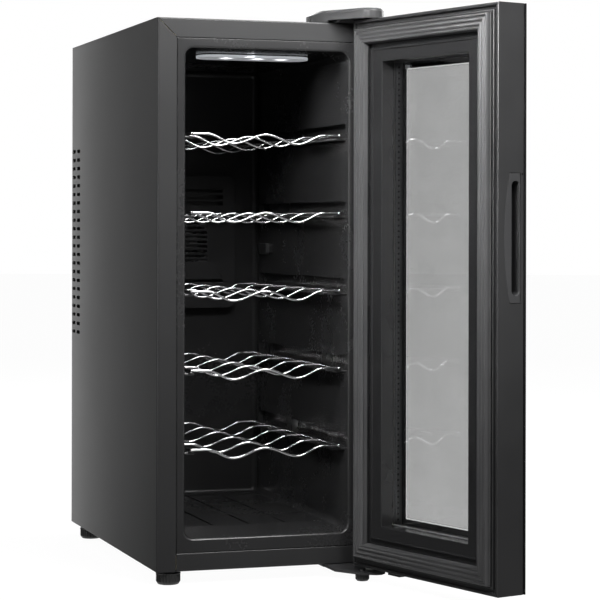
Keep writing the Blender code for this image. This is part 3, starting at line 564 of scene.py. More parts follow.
def build_side_panel(name, side):
    """A folded sheet with two columns of vents. Its front flange is mitred at the top."""
    fold, inner = 0.0024, 0.0014
    edge = SIDE - 0.0220
    points = [(edge, 0.0)]
    points += [(SIDE - fold + x, fold + y) for x, y in arc((0, 0), fold, -90, 0, 6)]
    points += [(SIDE, DEPTH), (SIDE - SHEET, DEPTH)]
    points += [(SIDE - fold + x, fold + y) for x, y in arc((0, 0), inner, 0, -90, 4)]
    points += [(edge, SHEET)]
    points = [(side * x, y) for x, y in points]
    work = bmesh.new()
    slab(work, points, LOW, TOP - SHEET - GAP)
    cut = bmesh.new()
    outline = [
        (side * (SIDE + 0.002), TOP - 0.0008 + 0.002 * 0.951),
        (side * (SIDE - SIDE_FLANGE - 0.002), TOP - 0.0008 - TOP_FLANGE - 0.002 * 0.951),
        (side * (edge - 0.002), TOP + 0.01),
        (side * (SIDE + 0.002), TOP + 0.01),
    ]
    slab(cut, outline, -0.001, SHEET + 0.0006, "Y")
    low, high = sorted((side * (SIDE - 0.004), side * (SIDE + 0.004)))
    vent_rows, vent_pitch, half_long, half_high = 22, 0.01116, 0.0088, 0.0022
    for row in range(vent_rows):
        z = LOW + 0.2503 + vent_pitch * row
        for y in (0.4010, 0.4275):
            outline = rounded(
                y - half_long, z - half_high, y + half_long, z + half_high, 0.0014, 3
            )
            slab(cut, outline, low, high, "X")
    piece(
        name + "_sheet", work, PAINT, "cabinet", [name], bevel=0.00028, cut=cut
    )


def build_top_panel():
    fold, inner = 0.0016, 0.0006
    points = [(0.0, TOP - TOP_FLANGE), (0.0, TOP - fold)]
    points += [(fold + y, TOP - fold + z) for y, z in arc((0, 0), fold, 180, 90, 6)][1:]
    points += [(DEPTH, TOP), (DEPTH, TOP - SHEET)]
    points += [(fold + y, TOP - fold + z) for y, z in arc((0, 0), inner, 90, 180, 4)]
    points += [(SHEET, TOP - TOP_FLANGE)]
    work = bmesh.new()
    slab(work, points, -SIDE, SIDE, "X")
    cut = bmesh.new()
    for side in (-1, 1):
        outline = [
            (side * (SIDE + 0.002), TOP - SHEET - GAP / 2),
            (side * (SIDE - 0.0018), TOP - SHEET - GAP / 2),
            (side * (SIDE - 0.0230), TOP - TOP_FLANGE),
            (side * (SIDE - 0.0230), TOP - 0.0233),
            (side * (SIDE + 0.002), TOP - 0.0233),
        ]
        slab(cut, outline, -0.001, SHEET + 0.0007, "Y")
    piece(
        "top_panel_sheet", work, PAINT, "cabinet", ["top_panel"], bevel=0.00028,
        cut=cut,
    )


def build_front_rail():
    edge = SIDE - SIDE_FLANGE - 0.0006
    work = bmesh.new()
    points = [(0.0, LOW + RAIL - 0.0008), (0.0, LOW + 0.0012)]
    points += [(0.0012 + y, LOW + 0.0012 + z) for y, z in arc((0, 0), 0.0012, 180, 270, 5)][1:]
    points += [(0.0050, LOW), (0.0050, LOW + 0.0008), (0.0012, LOW + 0.0008)]
    points += [(0.0009, LOW + RAIL), (0.0005, LOW + RAIL)]
    slab(work, points, -edge, edge, "X")
    piece(
        "front_rail_sheet", work, PAINT, "cabinet", ["front_rail"], bevel=0.00025
    )


def floor_height(y):
    """The liner's floor: a ramp behind the sill, then a shallow step down to the flat floor."""
    marks = [
        (0.0022, CAVITY_LOW), (0.058, FLOOR), (0.0625, FLOOR + 0.0002), (0.0650, FLOOR - 0.0001),
        (0.0662, FLOOR - 0.0008), (0.400, FLOOR - 0.0008),
    ]
    if y <= marks[0][0]:
        return marks[0][1]
    for (y0, z0), (y1, z1) in zip(marks, marks[1:]):
        if y <= y1:
            return z0 + (z1 - z0) * (y - y0) / (y1 - y0)
    return marks[-1][1]


def build_liner():
    """A tub with a rolled front edge and troughs for the racks, and the ledges in these."""
    corner = 0.010

    def ring(inset, y):
        z0 = floor_height(y) - max(inset, 0) * (y < 0.05) if inset > -0.003 else CAVITY_LOW
        outline = rounded(
            -CAVITY_X + inset, z0 + inset, CAVITY_X - inset, CAVITY_HIGH - inset,
            corner - inset, 8,
        )
        return [(x, y, z) for x, z in outline]

    edge = SIDE - SIDE_FLANGE - 0.0009

    def rim(inset, y):
        outline = rounded(
            -edge + inset, LOW + RAIL + 0.0008 + inset,
            edge - inset, TOP - TOP_FLANGE - 0.0009 - inset, 0.0008, 8,
        )
        return [(x, y, z) for x, z in outline]

    rings = [ring(-0.0082, 0.3560), ring(-0.0082, 0.0021), rim(-0.0022, 0.0021)]
    rings += [rim(-0.0022, 0.0013), rim(0, 0.0013), rim(0, 0.0006), rim(0.0002, 0.0002)]
    rings += [rim(0.0006, 0)]
    lip = 0.0028
    rings.append(ring(-lip - 0.0006, 0))
    for step in range(7):
        turn = math.pi / 2 * step / 6
        rings.append(ring(-lip + lip * math.sin(turn), lip * (1 - math.cos(turn))))
    rings.append(ring(0, 0.0044))
    for y in (0.0240, 0.0258, 0.0268):
        rings.append(ring(0.0010 * min(1, (y - 0.0044) / 0.0206), y))
    for y in (0.0300, 0.058, 0.0605, 0.0625, 0.0640, 0.0650, 0.0656, 0.0662, 0.0670, 0.200):
        rings.append(ring(0.0010, y))
    back = 0.007
    for step in range(6):
        turn = math.pi / 2 * step / 5
        rings.append(
            ring(0.001 + back * (1 - math.cos(turn)), CAVITY_DEPTH - back + back * math.sin(turn))
        )
    work = bmesh.new()
    loft(work, rings)
    cut = bmesh.new()
    for level in RACKS:
        for side in (-1, 1):
            low, high = sorted((side * (CAVITY_X - 0.002), side * (CAVITY_X + 0.0052)))
            outline = rounded(0.0105, level - 0.0058, 0.3385, level + 0.0140, 0.0030, 4)
            slab(cut, outline, low, high, "X")
    for x in (-0.044, 0.0, 0.044):
        outline = rounded(x - 0.0014, 0.072, x + 0.0014, 0.340, 0.0013, 4)
        slab(cut, outline, FLOOR - 0.0028, FLOOR + 0.002)
    piece(
        "liner_tub", work, LINER, "cabinet", ["inner_liner"], bevel=0.0009,
        segments=3, cut=cut, angle=50, smooth=40,
    )
    work = bmesh.new()
    for level in RACKS:
        top = level - 0.002 - GAP
        for side in (-1, 1):
            low, high = sorted((side * 0.0835, side * (CAVITY_X + 0.0050)))

            def at(inset, top=top):
                return rounded(
                    0.0098 + inset, top - 0.0034 + inset, 0.3380 - inset, top - inset,
                    0.0014 - inset, 3,
                )

            soft_slab(work, at, low, high, "X", 0.0009)
    piece("rack_ledges", work, LINER, "cabinet")


def build_lamp():
    """A dark base on the ceiling, a frosted bar under it, and the diodes' spots."""
    low = CAVITY_HIGH - 0.0050

    def at(inset, grow=0.0):
        inset -= grow
        return rounded(
            -0.063 + inset, 0.052 + inset, 0.071 - inset, 0.098 - inset, 0.0215 - inset, 12
        )

    work = bmesh.new()
    soft_slab(work, at, low, CAVITY_HIGH - 0.0018, "Z", 0.0030, 5)
    piece("lamp_cover", work, LENS, "cabinet", ["lamp_lens"])
    work = bmesh.new()
    soft_slab(
        work, lambda inset: at(inset, 0.0012), CAVITY_HIGH - 0.0019, CAVITY_HIGH - 0.0011, "Z",
        0.0004, 2,
    )
    piece("lamp_base", work, LINER, "cabinet")
    work = bmesh.new()
    for x in LED_X:
        turned(
            work,
            [(0, low - 0.0001), (0.0022, low - 0.0001), (0.0026, low + 0.0003), (0, low + 0.0003)],
            x, LED_Y, 20,
        )
    spot, tree, shader = new_material("led_glow")
    sparkle = noise(tree, coordinates(tree), 2500, 2, 0.5)
    tree.links.new(spread(tree, sparkle, 9.0, 12.0), shader.inputs["Emission Strength"])
    shader.inputs["Emission Color"].default_value = (0.95, 0.97, 1.0, 1)
    tree.links.new(
        blend_colors(tree, sparkle, (0.9, 0.9, 0.85), (1, 1, 0.95)), shader.inputs["Base Color"]
    )
    piece("lamp_spots", work, spot, "cabinet")


def wave_height(x):
    """A cross wire dips twice, once on each side of its middle."""
    x = abs(x)
    if x >= WAVE_END:
        return 0.0
    share = (WAVE_END - x) / (WAVE_END - WAVE_DIP) if x > WAVE_DIP else x / WAVE_DIP
    return -WAVE_DEPTH / 2 * (1 - math.cos(math.pi * share))


def build_racks():
    xs = [-ROD_X, -0.080, -0.0735]
    xs += [WAVE_END * (step / 22 - 1) for step in range(45)]
    xs += [0.0735, 0.080, ROD_X]
    for number, level in enumerate(RACKS, 1):
        work = bmesh.new()
        for y in WIRES_Y:
            path = [(x, y, level + wave_height(x)) for x in xs]
            tube(work, path, WIRE_RADIUS, 12, False)
        for x in (-ROD_X, ROD_X):
            path = [(x, 0.0068 + 0.0325 * step, level) for step in range(11)]
            tube(work, path, ROD_RADIUS, 14)
        piece(
            "rack_%d_wires" % number, work, CHROME, "rack_%d_body" % number,
            ["rack_%d" % number], smooth=60,
        )


def grooves(low, high, depth):
    """Upright grooves round a foot between two heights, for turned()."""

    def wave(side, radius, height):
        grooved = low < height < high and radius > 0.007 and side % 4 in (0, 1)
        return 1.0 - depth * grooved

    return wave


def build_feet():
    big = 0.0141
    for name, x, y, body in (
        ("front_left_foot", -0.112, 0.017, "left_foot"),
        ("rear_left_foot", -0.115, 0.390, "cabinet"),
        ("rear_right_foot", 0.115, 0.390, "cabinet"),
    ):
        top = LOW - GAP
        profile = [
            (0, top), (0.0105, top), (0.0110, top - 0.0003), (0.0110, top - 0.0018),
            (big - 0.0006, top - 0.0020), (big, top - 0.0026), (big, top - 0.0034),
            (big - 0.0003, top - 0.0038), (big - 0.0003, 0.0045), (big - 0.0003, 0.0034),
            (big - 0.0008, 0.0026), (0.0118, 0.0003), (0.0112, 0.0), (0.0070, 0.0),
            (0.0066, 0.0006), (0, 0.0006),
        ]
        work = bmesh.new()
        turned(work, profile, x, y, 96, grooves(0.0032, LOW - 0.0036, 0.06))
        piece(name + "_ribbed", work, RUBBER, body, [name], smooth=35)
    top = LOW - 0.0070 - GAP
    small = 0.0083
    profile = [
        (0, top + 0.0050), (0.0030, top + 0.0050), (0.0030, top), (small - 0.0006, top),
        (small, top - 0.0006), (small, top - 0.0012), (small - 0.0003, top - 0.0015),
        (small - 0.0003, 0.0022), (small - 0.0022, 0.0), (0, 0.0),
    ]
    work = bmesh.new()
    turned(work, profile, 0.104, -0.030, 64, grooves(0.002, 0.0066, 0.04))
    piece(
        "front_right_foot_ribbed", work, RUBBER, "right_foot", ["front_right_foot"]
    )


def build_hinge_cover():
    """The cap over the upper hinge, round in front and stepped up over the door."""
    bottom, top = TOP + GAP, TOP + 0.0145
    outline = [(0.1265, 0.056), (0.064, 0.056), (0.064, 0.008)]
    outline += arc((0.1110, -0.0332), 0.0152, 217, 360, 16)
    middle = Vector((0.100, 0.010))

    def shrunk(inset):
        corners = [Vector(corner) for corner in outline]
        return [tuple(here - (here - middle).normalized() * inset) for here in corners]

    work = bmesh.new()
    rings = [(0, bottom), (0, top - 0.0036), (0.0004, top - 0.0030), (0.0036, top - 0.0004)]
    rings += [(0.0046, top)]
    loft(work, [[(x, y, z) for x, y in shrunk(inset)] for inset, z in rings])
    cut = bmesh.new()
    slab(cut, shrunk(0.0020), bottom - 0.002, top - 0.0036)
    made = piece("hinge_cap", work, CAP, "cabinet", ["hinge_cover"], cut=cut)
    made.modifiers.clear()
    over_door = bmesh.new()
    box(over_door, (0.05, -0.07, bottom - 0.003), (0.14, -0.0006, TOP + 0.0026))
    cut_away(made, over_door, PLACE)
    bevel_edges(made, 0.0007, 3, 35)
    bake_modifiers(made)
    shade(made, 40)


def pan_head(work, x, y, z, radius, height):
    """A domed cross-head screw head that stands out to the back."""
    profile = [
        (0.0, height), (radius * 0.55, height * 0.92), (radius * 0.85, height * 0.6),
        (radius, height * 0.15), (radius, 0.0), (0.0, 0.0),
    ]
    made = bmesh.new()
    turned(made, profile, 0, 0, 20)
    for turn in (0, 90):
        arm = box(
            made, (-radius * 0.55, -radius * 0.09, height * 0.88),
            (radius * 0.55, radius * 0.09, height * 1.02),
        )
        turned_by = Matrix.Rotation(math.radians(turn + 20), 3, "Z")
        bmesh.ops.rotate(made, cent=(0, 0, 0), matrix=turned_by, verts=arm)
    made.transform(Matrix.Rotation(math.radians(-90), 4, "X"))
    made.transform(Matrix.Translation((x, y, z)))
    mesh = bpy.data.meshes.new("head")
    made.to_mesh(mesh)
    made.free()
    work.from_mesh(mesh)
    bpy.data.meshes.remove(mesh)


def build_rear_cover():
    inside = SIDE - SHEET - GAP
    low, high = DEPTH - 0.0022, DEPTH - 0.001
    work = bmesh.new()
    box(work, (-inside, low, LOW), (inside, high, TOP - SHEET - GAP))
    cut = bmesh.new()

    def slot(x0, x1, z):
        outline = rounded(x0, z - 0.002, x1, z + 0.002, 0.0018, 4)
        slab(cut, outline, low - 0.002, high + 0.002, "Y")

    for row in range(11):
        z = MODULE_Z - 0.040 + 0.008 * row
        slot(-0.042, -0.0015, z)
        slot(0.0015, 0.042, z)
    for row in range(5):
        slot(-0.060, 0.060, LOW + 0.120 + 0.009 * row)
        slot(-0.060, 0.060, TOP - 0.060 - 0.009 * row)
    x, z = 0.080, LOW + 0.060  # the power inlet
    box(cut, (x - 0.0142, low - 0.003, z - 0.0105), (x + 0.0142, high + 0.003, z + 0.0105))
    piece(
        "rear_cover_sheet", work, PAINT, "cabinet", ["rear_cover"],
        bevel=0.00025, cut=cut,
    )
    heads = bmesh.new()
    for sx in (-0.118, 0.118):
        for sz in (LOW + 0.012, LOW + 0.210, LOW + 0.410, TOP - 0.016):
            pan_head(heads, sx, high, sz, 0.0034, 0.0009)
    piece("rear_cover_screws", heads, ZINC, "cabinet")


def build_foam():
    """The foam round the liner and behind it, with holes for the cooling block and screws."""
    side, well = SIDE - SHEET - GAP, CAVITY_X + 0.0086
    low, high = LOW + SHEET + GAP, TOP - SHEET - GAP
    work = bmesh.new()

    def ring(half, z0, z1, y):
        outline = rounded(-half, z0, half, z1, 0.004, 4)
        return [(x, y, z) for x, z in outline]

    under, over = CAVITY_LOW - 0.0086, CAVITY_HIGH + 0.0086
    rings = [ring(side, low, high, 0.3915), ring(side, low, high, 0.0026)]
    rings += [ring(well, under, over, 0.0026), ring(well, under, over, 0.3565)]
    loft(work, rings)
    cut = bmesh.new()
    box(cut, (-0.030, 0.340, MODULE_Z - 0.030), (0.030, 0.400, MODULE_Z + 0.030))
    for x, y in ((0.084, 0.030), (0.114, 0.036)):
        bore(cut, x, y, 0.0024, TOP - 0.016, TOP + 0.002)
    for x, y, radius, top in (
        (0.086, 0.026, 0.0024, 0.013), (0.116, 0.034, 0.0024, 0.013),
        (-0.112, 0.017, 0.0036, 0.0150),
    ):
        bore(cut, x, y, radius, LOW - 0.002, LOW + top)
    piece("foam_jacket", work, FOAM, "cabinet", ["insulation_foam"], cut=cut)


# ---------------------------------------------------------------- door


def build_door_frame():
    profile = [
        (0.0012, 0.0355), (0.0004, 0.0351), (0.0, 0.0343), (0.0, 0.0012), (0.0003, 0.0004),
        (0.0010, 0.0), (0.0030, 0.0), (0.0034, 0.0003), (0.0036, 0.0010), (0.0037, 0.0026),
        (0.0040, 0.0030), (0.0072, 0.0030), (0.0075, 0.0026), (0.0076, 0.0010),
        (0.0079, 0.0004), (0.0084, 0.0002), (0.0095, 0.0002), (0.0095, 0.0060),
        (0.0022, 0.0060), (0.0022, 0.0333), (0.0240, 0.0333), (0.0240, 0.0355),
    ]
    work = frame_ring([(a, a, d) for a, d in profile])
    cut = bmesh.new()
    slab(cut, handle_outline(GAP), -SIDE - 0.002, -SIDE + 0.0030, "X")
    for z in (DOOR_HIGH - 0.004, DOOR_LOW - 0.002):
        slab(cut, circle(PIVOT.x, PIVOT.y, 0.0048, 24), z, z + 0.006)
    piece(
        "door_edge_frame", work, DOOR_PLASTIC, "door", ["door_outer_frame"],
        door=True, cut=cut, smooth=50,
    )


def handle_outline(grow):
    middle, half = HANDLE_Z, 0.0685 + grow
    bow = []
    for step in range(17):
        share = 2 * step / 16 - 1
        depth = 0.0085 - grow + 0.0080 * abs(share) ** 2.2
        bow.append((DOOR_FRONT - depth, middle + half * share))
    back = DOOR_FRONT - 0.0305 - grow
    return bow + [(back, middle + half), (back, middle - half)]


def build_handle():
    work = bmesh.new()
    slab(work, handle_outline(0), -SIDE + 0.0002, -SIDE + 0.0040, "X")
    cut = bmesh.new()
    y0, y1 = DOOR_FRONT - 0.0293, DOOR_FRONT - 0.0190
    inner = rounded(y0, HANDLE_Z - 0.060, y1, HANDLE_Z + 0.060, 0.0046, 8)
    slab(cut, inner, -SIDE - 0.002, -SIDE + 0.0200, "X")
    piece(
        "hand_grip_face", work, SOFT_BLACK, "door", ["hand_grip"], door=True,
        cut=cut, bevel=0.0007, segments=3, smooth=40,
    )
    work = bmesh.new()
    outer = rounded(y0 - 0.0019, HANDLE_Z - 0.062, y1 + 0.0019, HANDLE_Z + 0.062, 0.0062, 8)
    deep = rounded(y0 + 0.002, HANDLE_Z - 0.058, y1 - 0.002, HANDLE_Z + 0.058, 0.0030, 8)
    steps = ((outer, 0.0215), (outer, 0.0030), (inner, 0.0030), (inner, 0.0185), (deep, 0.0198))
    loft(work, [along("X", outline, -SIDE + depth) for outline, depth in steps])
    piece("hand_grip_pocket", work, SOFT_BLACK, "door", door=True, smooth=40)
    # A small near-black dot above the grip, in the same painted hole shade as the spacer's holes.
    work = bmesh.new()
    y, z = DOOR_FRONT - 0.033, LOW + 0.443
    steps = ((0.0004, -0.00010), (0.0010, -0.00008), (0.0011, 0.0001), (0.0011, 0.0006))
    loft(work, [along("X", circle(y, z, radius, 16), -SIDE + depth) for radius, depth in steps])
    piece("hand_grip_plug", work, HOLE_SHADE, "door", door=True)


def build_inner_frame():
    """The inner moulding. Its sloping border is narrower at the top and bottom."""

    def both(side_inset, depth, taper=0.0):
        return (side_inset, side_inset - taper, depth)

    profile = [
        both(0.0098, 0.0002), both(0.0180, 0.0002), both(0.0180, 0.0040), both(0.0215, 0.0040),
        both(0.0215, 0.0002), both(0.0284, 0.0001), both(0.0287, 0.0004),
        both(0.0287, 0.0030), both(0.0346, 0.0030), both(0.0346, 0.0004), both(0.0349, 0.0001),
        both(0.0359, 0.0001), both(0.0362, 0.0004), both(0.0364, 0.0012), both(0.0372, 0.0014),
        both(0.0512, 0.0026, 0.0032), both(0.0519, 0.0027, 0.0032), both(0.0524, 0.0030, 0.0032),
        both(0.0527, 0.0036, 0.0032), both(0.0527, 0.0180, 0.0032), both(0.0524, 0.0187, 0.0032),
        both(0.0505, 0.0187, 0.0032), both(0.0505, 0.0060, 0.0032), both(0.0325, 0.0040),
        both(0.0235, 0.0040), both(0.0235, 0.0060), both(0.0160, 0.0060), both(0.0160, 0.0020),
        both(0.0098, 0.0020),
    ]
    work = frame_ring(profile)
    piece(
        "door_inner_moulding", work, MOULDING, "door", ["door_inner_frame"],
        door=True, smooth=38,
    )


def build_gasket():
    """A soft seal with three round ribs on its face and bellows at its sides."""
    ribs_of_face = []
    for step in range(25):
        place = 0.0113 + 0.0144 * step / 24
        swing = math.cos(2 * math.pi * (place - 0.0125) / 0.0049)
        ribs_of_face.append((place, -0.0067 - 0.0009 * swing))
    shape = [(0.0105, -0.0003), (0.0102, -0.0012), (0.0110, -0.0022)]
    shape += [(0.0104, -0.0034), (0.0108, -0.0052)] + ribs_of_face
    shape += [
        (0.0266, -0.0062), (0.0275, -0.0050), (0.0267, -0.0038), (0.0277, -0.0027),
        (0.0282, -0.0014), (0.0288, -0.0003), (0.0210, -0.0003), (0.0210, 0.0036),
        (0.0185, 0.0036), (0.0185, -0.0003),
    ]
    work = frame_ring([(a, a, d) for a, d in shape])
    piece(
        "door_seal", work, GASKET, "door", ["door_gasket"], door=True, smooth=50
    )


def build_panes():
    """Two panes with a spacer between. The front one is printed black outside its window."""

    def pane(inset_x, inset_z, y_back, thick, edge):
        work = bmesh.new()

        def at(inset):
            return rounded(
                -SIDE + inset_x + inset, DOOR_LOW + inset_z + inset, SIDE - inset_x - inset,
                DOOR_HIGH - inset_z - inset, 0.0012, 4,
            )

        soft_slab(work, at, y_back - thick, y_back, "Y", edge, 2)
        return work

    work = pane(0.0576, 0.0578, DOOR_FRONT - 0.0358, 0.0029, 0.0001)
    piece(
        "front_pane", work, OUTER_GLASS, "door", ["outer_glass"], door=True, smooth=5
    )
    work = pane(0.0440, 0.0440, DOOR_FRONT - 0.0190, 0.0030, 0.0004)
    piece(
        "inner_pane", work, INNER_GLASS, "door", ["inner_glass"], door=True, smooth=5
    )
    front, rear = 0.0388, 0.0358
    border = [
        (0.0000, 0.0000, front - 0.0006), (0.0002, 0.0002, front - 0.0002),
        (0.0006, 0.0006, front), (0.0560, 0.0562, front), (0.0560, 0.0562, rear),
        (0.0004, 0.0004, rear), (0.0000, 0.0000, rear + 0.0004),
    ]
    work = frame_ring(border)
    piece("pane_border", work, PRINT, "door", door=True)
    clear = [
        (0.0561, 0.0563, front - 0.0001), (0.0575, 0.0577, front - 0.0001),
        (0.0575, 0.0577, rear + 0.0001), (0.0561, 0.0563, rear + 0.0001),
    ]
    work = frame_ring(clear)
    piece("pane_clear_line", work, EDGE_GLASS, "door", door=True, smooth=5)
    lip = [
        (0.0442, 0.0442, 0.0223), (0.0493, 0.0493, 0.0223), (0.0498, 0.0498, 0.0227),
        (0.0498, 0.0498, 0.0246), (0.0494, 0.0494, 0.0250), (0.0442, 0.0442, 0.0250),
    ]
    work = frame_ring(lip)
    piece("pane_spacer_lip", work, SPACER, "door", ["glass_spacer"], door=True)
    # Painted highlight: a thin pale band on the bottom face of the spacer lip, standing in for the
    # light that falls on it from above.
    work = bmesh.new()
    wide, foot = SIDE - 0.0500, DOOR_LOW + 0.0494

    def strip(inset):
        return rounded(
            -wide + inset, DOOR_FRONT - 0.0252 + inset, wide - inset, DOOR_FRONT - 0.0222 - inset,
            0.0004, 3,
        )

    soft_slab(work, strip, foot, foot + 0.0012, "Z", 0.0004, 2)
    piece("pane_foot_painted_highlight", work, LIP_HIGHLIGHT, "door", door=True)
    channel = [
        (0.0442, 0.0442, 0.0252), (0.0493, 0.0493, 0.0252), (0.0498, 0.0498, 0.0256),
        (0.0498, 0.0498, 0.0268), (0.0495, 0.0495, 0.0271), (0.0495, 0.0495, 0.0325),
        (0.0498, 0.0498, 0.0328), (0.0498, 0.0498, 0.0348), (0.0493, 0.0493, 0.0353),
        (0.0442, 0.0442, 0.0353),
    ]
    work = frame_ring(channel)
    piece("pane_spacer_channel", work, SPACER, "door", door=True)
    # Painted shade: thin near-black discs on the spacer's faces stand in for the shade inside its
    # perforations.
    holes = bmesh.new()
    x_edge, low, high = SIDE - 0.0495, DOOR_LOW + 0.0495, DOOR_HIGH - 0.0495
    y, pitch = DOOR_FRONT - 0.0298, 0.0064

    def hole(across, up, depth, out, axis):
        slab(holes, circle(across, up, 0.0013, 8), depth, depth + out * 0.0002, axis)

    for step in range(84):
        z = low + 0.006 + step * pitch
        if z < high - 0.004:
            for side in (-1, 1):
                hole(y, z, side * (x_edge - 0.00005), side, "X")
    for step in range(25):
        x = -x_edge + 0.004 + step * pitch
        if x < x_edge - 0.003:
            hole(x, y, low + 0.00005, -1, "Z")
            hole(x, y, high - 0.00005, 1, "Z")
    piece("pane_spacer_hole_shade", holes, HOLE_SHADE, "door", door=True)


# ---------------------------------------------------------------- carried-over CAD nodes


def dress(name, material, bevel):
    """Keeps a CAD node and gives it its material and softened edges."""
    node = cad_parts[name]
    node.data.materials.clear()
    node.data.materials.append(material)
    weld = node.modifiers.new("weld", "WELD")
    weld.merge_threshold = 0.000004
    if bevel:
        bevel_edges(node, bevel, 2, 35)
    shade(node, 35)


build_side_panel("left_side_panel", -1)
build_side_panel("right_side_panel", 1)
build_top_panel()
build_front_rail()
build_liner()
build_lamp()
build_racks()
build_feet()
build_hinge_cover()
build_rear_cover()
build_foam()
build_door_frame()
build_handle()
build_inner_frame()
build_gasket()
build_panes()

for name, material, bevel in (
    ("base_pan", PAINT, 0.0002),
    ("lamp_board", BOARD, 0.0001),
    ("fan_duct_cover", LINER, 0.0004),
    ("inner_fan_frame", SOFT_BLACK, 0.0003),
    ("inner_fan_rotor", SOFT_BLACK, 0.0002),
    ("cold_sink", ALUMINIUM, 0.0001),
    ("cold_block", ALUMINIUM, 0.0003),
    ("thermoelectric_module", WHITE_PLASTIC, 0.0001),
    ("hot_sink", ALUMINIUM, 0.0001),
    ("rear_fan_frame", SOFT_BLACK, 0.0003),
    ("rear_fan_rotor", SOFT_BLACK, 0.0002),
    ("power_board", BOARD, 0.0002),
    ("power_inlet", SOFT_BLACK, 0.0003),
    ("temperature_sensor", SOFT_BLACK, 0.0006),
    ("upper_hinge_plate", BLACK_STEEL, 0.0003),
    ("upper_hinge_pin", BLACK_STEEL, 0.0002),
    ("upper_hinge_screw_1", BLACK_STEEL, 0.0002),
    ("upper_hinge_screw_2", BLACK_STEEL, 0.0002),
    ("lower_hinge_plate", BLACK_STEEL, 0.0004),
    ("lower_hinge_pin", ZINC, 0.0002),
    ("lower_hinge_screw_1", ZINC, 0.0002),
    ("lower_hinge_screw_2", ZINC, 0.0002),
    ("lower_hinge_washer", WHITE_PLASTIC, 0.0002),
    ("door_foam", FOAM, 0),
    ("upper_bushing", WHITE_PLASTIC, 0.0001),
    ("lower_bushing", WHITE_PLASTIC, 0.0001),
    ("door_stop", DOOR_PLASTIC, 0.0004),
    ("touch_board", BOARD, 0.0001),
):
    dress(name, material, bevel)


# ---------------------------------------------------------------- stage, lights, camera


def area(name, place, aim, size, power, beam=180):
    """A soft light. The camera does not see it, not even through the glass."""
    data = bpy.data.lights.new(name, "AREA")
    data.shape = "RECTANGLE"
    data.size, data.size_y = size
    data.energy = power
    data.spread = math.radians(beam)
    made = bpy.data.objects.new(name, data)
    bpy.context.scene.collection.objects.link(made)
    made.location = place
    made.rotation_mode = "QUATERNION"
    made.rotation_quaternion = (Vector(aim) - Vector(place)).to_track_quat("-Z", "Y")
    made.visible_camera = False
    made.visible_transmission = False
    return made


def build_stage():
    """A pale floor that shines a little, so that it runs into the white behind it."""
    work = bmesh.new()
    rings = [along("Z", circle(0, 0, radius, 48), -0.0002) for radius in (0.001, 1.5, 4, 9, 16)]
    loft(work, rings, caps=(True, False))
    mesh = bpy.data.meshes.new("floor")
    close(work).to_mesh(mesh)
    work.free()
    floor = bpy.data.objects.new("floor", mesh)
    bpy.context.scene.collection.objects.link(floor)
    made, tree, shader = new_material("pale_floor")
    slow = noise(tree, coordinates(tree), 1.5, 3, 0.5)
    tree.links.new(
        blend_colors(tree, spread(tree, slow, 0, 1), (0.055, 0.055, 0.055), (0.065, 0.065, 0.065)),
        shader.inputs["Base Color"],
    )
    tree.links.new(spread(tree, slow, 0.85, 0.95), shader.inputs["Roughness"])
    shader.inputs["Specular IOR Level"].default_value = 0.0
    shader.inputs["Emission Color"].default_value = (1, 1, 1, 1)
    shader.inputs["Emission Strength"].default_value = 0.97
    floor.data.materials.append(made)
    floor.visible_glossy = False
    floor.visible_diffuse = False


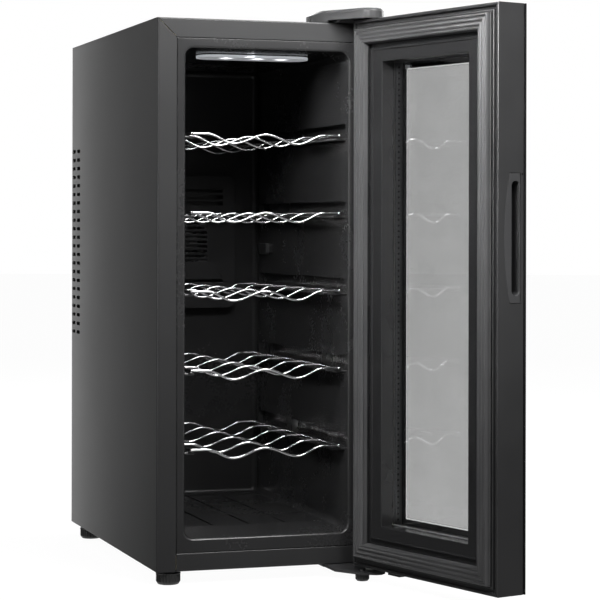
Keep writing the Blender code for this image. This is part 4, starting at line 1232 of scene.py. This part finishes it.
def build_world():
    """White where it is seen; for reflections a dark studio, paler above and straight below."""
    world = bpy.data.worlds.new("studio")
    bpy.context.scene.world = world
    world.use_nodes = True
    tree = world.node_tree
    tree.nodes.clear()
    out = tree.nodes.new("ShaderNodeOutputWorld")
    back = tree.nodes.new("ShaderNodeBackground")
    back.inputs["Color"].default_value = (1, 1, 1, 1)
    place = tree.nodes.new("ShaderNodeTexCoord")
    split = tree.nodes.new("ShaderNodeSeparateXYZ")
    tree.links.new(place.outputs["Generated"], split.inputs[0])
    up = split.outputs["Z"]
    above = spread(tree, up, 0.035, 0.12, (-0.12, 0.55), "SMOOTHSTEP")
    below = spread(tree, up, 0.0, 0.6, (-0.30, -0.60), "SMOOTHSTEP")
    path = tree.nodes.new("ShaderNodeLightPath").outputs
    seen = reckon(tree, "MAXIMUM", path["Is Camera Ray"], path["Is Transmission Ray"])
    pick = tree.nodes.new("ShaderNodeMix")
    pick.data_type = "FLOAT"
    tree.links.new(seen, pick.inputs["Factor"])
    tree.links.new(reckon(tree, "ADD", above, below), pick.inputs["A"])
    pick.inputs["B"].default_value = 1.0
    tree.links.new(pick.outputs["Result"], back.inputs["Strength"])
    tree.links.new(back.outputs["Background"], out.inputs["Surface"])


def build_camera():
    data = bpy.data.cameras.new("camera")
    data.lens = 127.10
    data.sensor_width = 36
    data.shift_x = 0.00868
    data.shift_y = -0.12581
    data.clip_end = 60
    camera = bpy.data.objects.new("camera", data)
    bpy.context.scene.collection.objects.link(camera)
    camera.location = ORIGIN + Vector((-0.73400, -2.29491, 0.38599 + LOW))
    turn = (
        Matrix.Rotation(math.radians(-18.4585), 3, "Z")
        @ Matrix.Rotation(math.radians(90.0898), 3, "X")
        @ Matrix.Rotation(math.radians(0.1218), 3, "Z")
    )
    camera.rotation_euler = turn.to_euler()
    bpy.context.scene.camera = camera


build_stage()
build_world()
area("top_softbox", (0.55, -0.22, 2.2), (0.0, -0.05, 0.05), (0.7, 0.25), 20)
area("left_softbox", (-2.2, -0.5, 0.75), (0, -0.05, 0.4), (0.35, 1.5), 12)
area("rear_left_strip", (-0.20, 0.64, 0.33), (-0.13, 0.2, 0.33), (0.06, 1.3), 0.6)
area("front_high", (0.35, -1.3, 1.35), (0.05, 0.0, 0.55), (0.7, 0.4), 29)
area("front_right_low", (1.3, -1.6, 0.4), (0.2, -0.3, 0.3), (0.5, 0.5), 1.6)
area("door_spot_front", (-0.42, -0.80, 1.05), (0.16, -0.28, 0.55), (0.3, 0.3), 3.0, beam=60)
area("door_spot_left", (-0.60, -0.35, 1.15), (0.15, -0.25, 0.60), (0.3, 0.3), 1.0, beam=50)
area(
    "cabinet_lamp", ORIGIN + Vector((0.004, 0.072, CAVITY_HIGH - 0.0075)),
    ORIGIN + Vector((0.080, -0.040, 0.25)), (0.12, 0.03), 0.16, beam=150,
).visible_glossy = False
area("back_softbox", (0.5, 2.6, 1.9), (0.0, 0.3, 0.35), (1.7, 1.1), 26)
area("right_softbox", (1.7, 0.8, 1.2), (0.1, 0.15, 0.35), (1.0, 1.2), 16)
build_camera()
bpy.context.scene.view_settings.view_transform = "Standard"
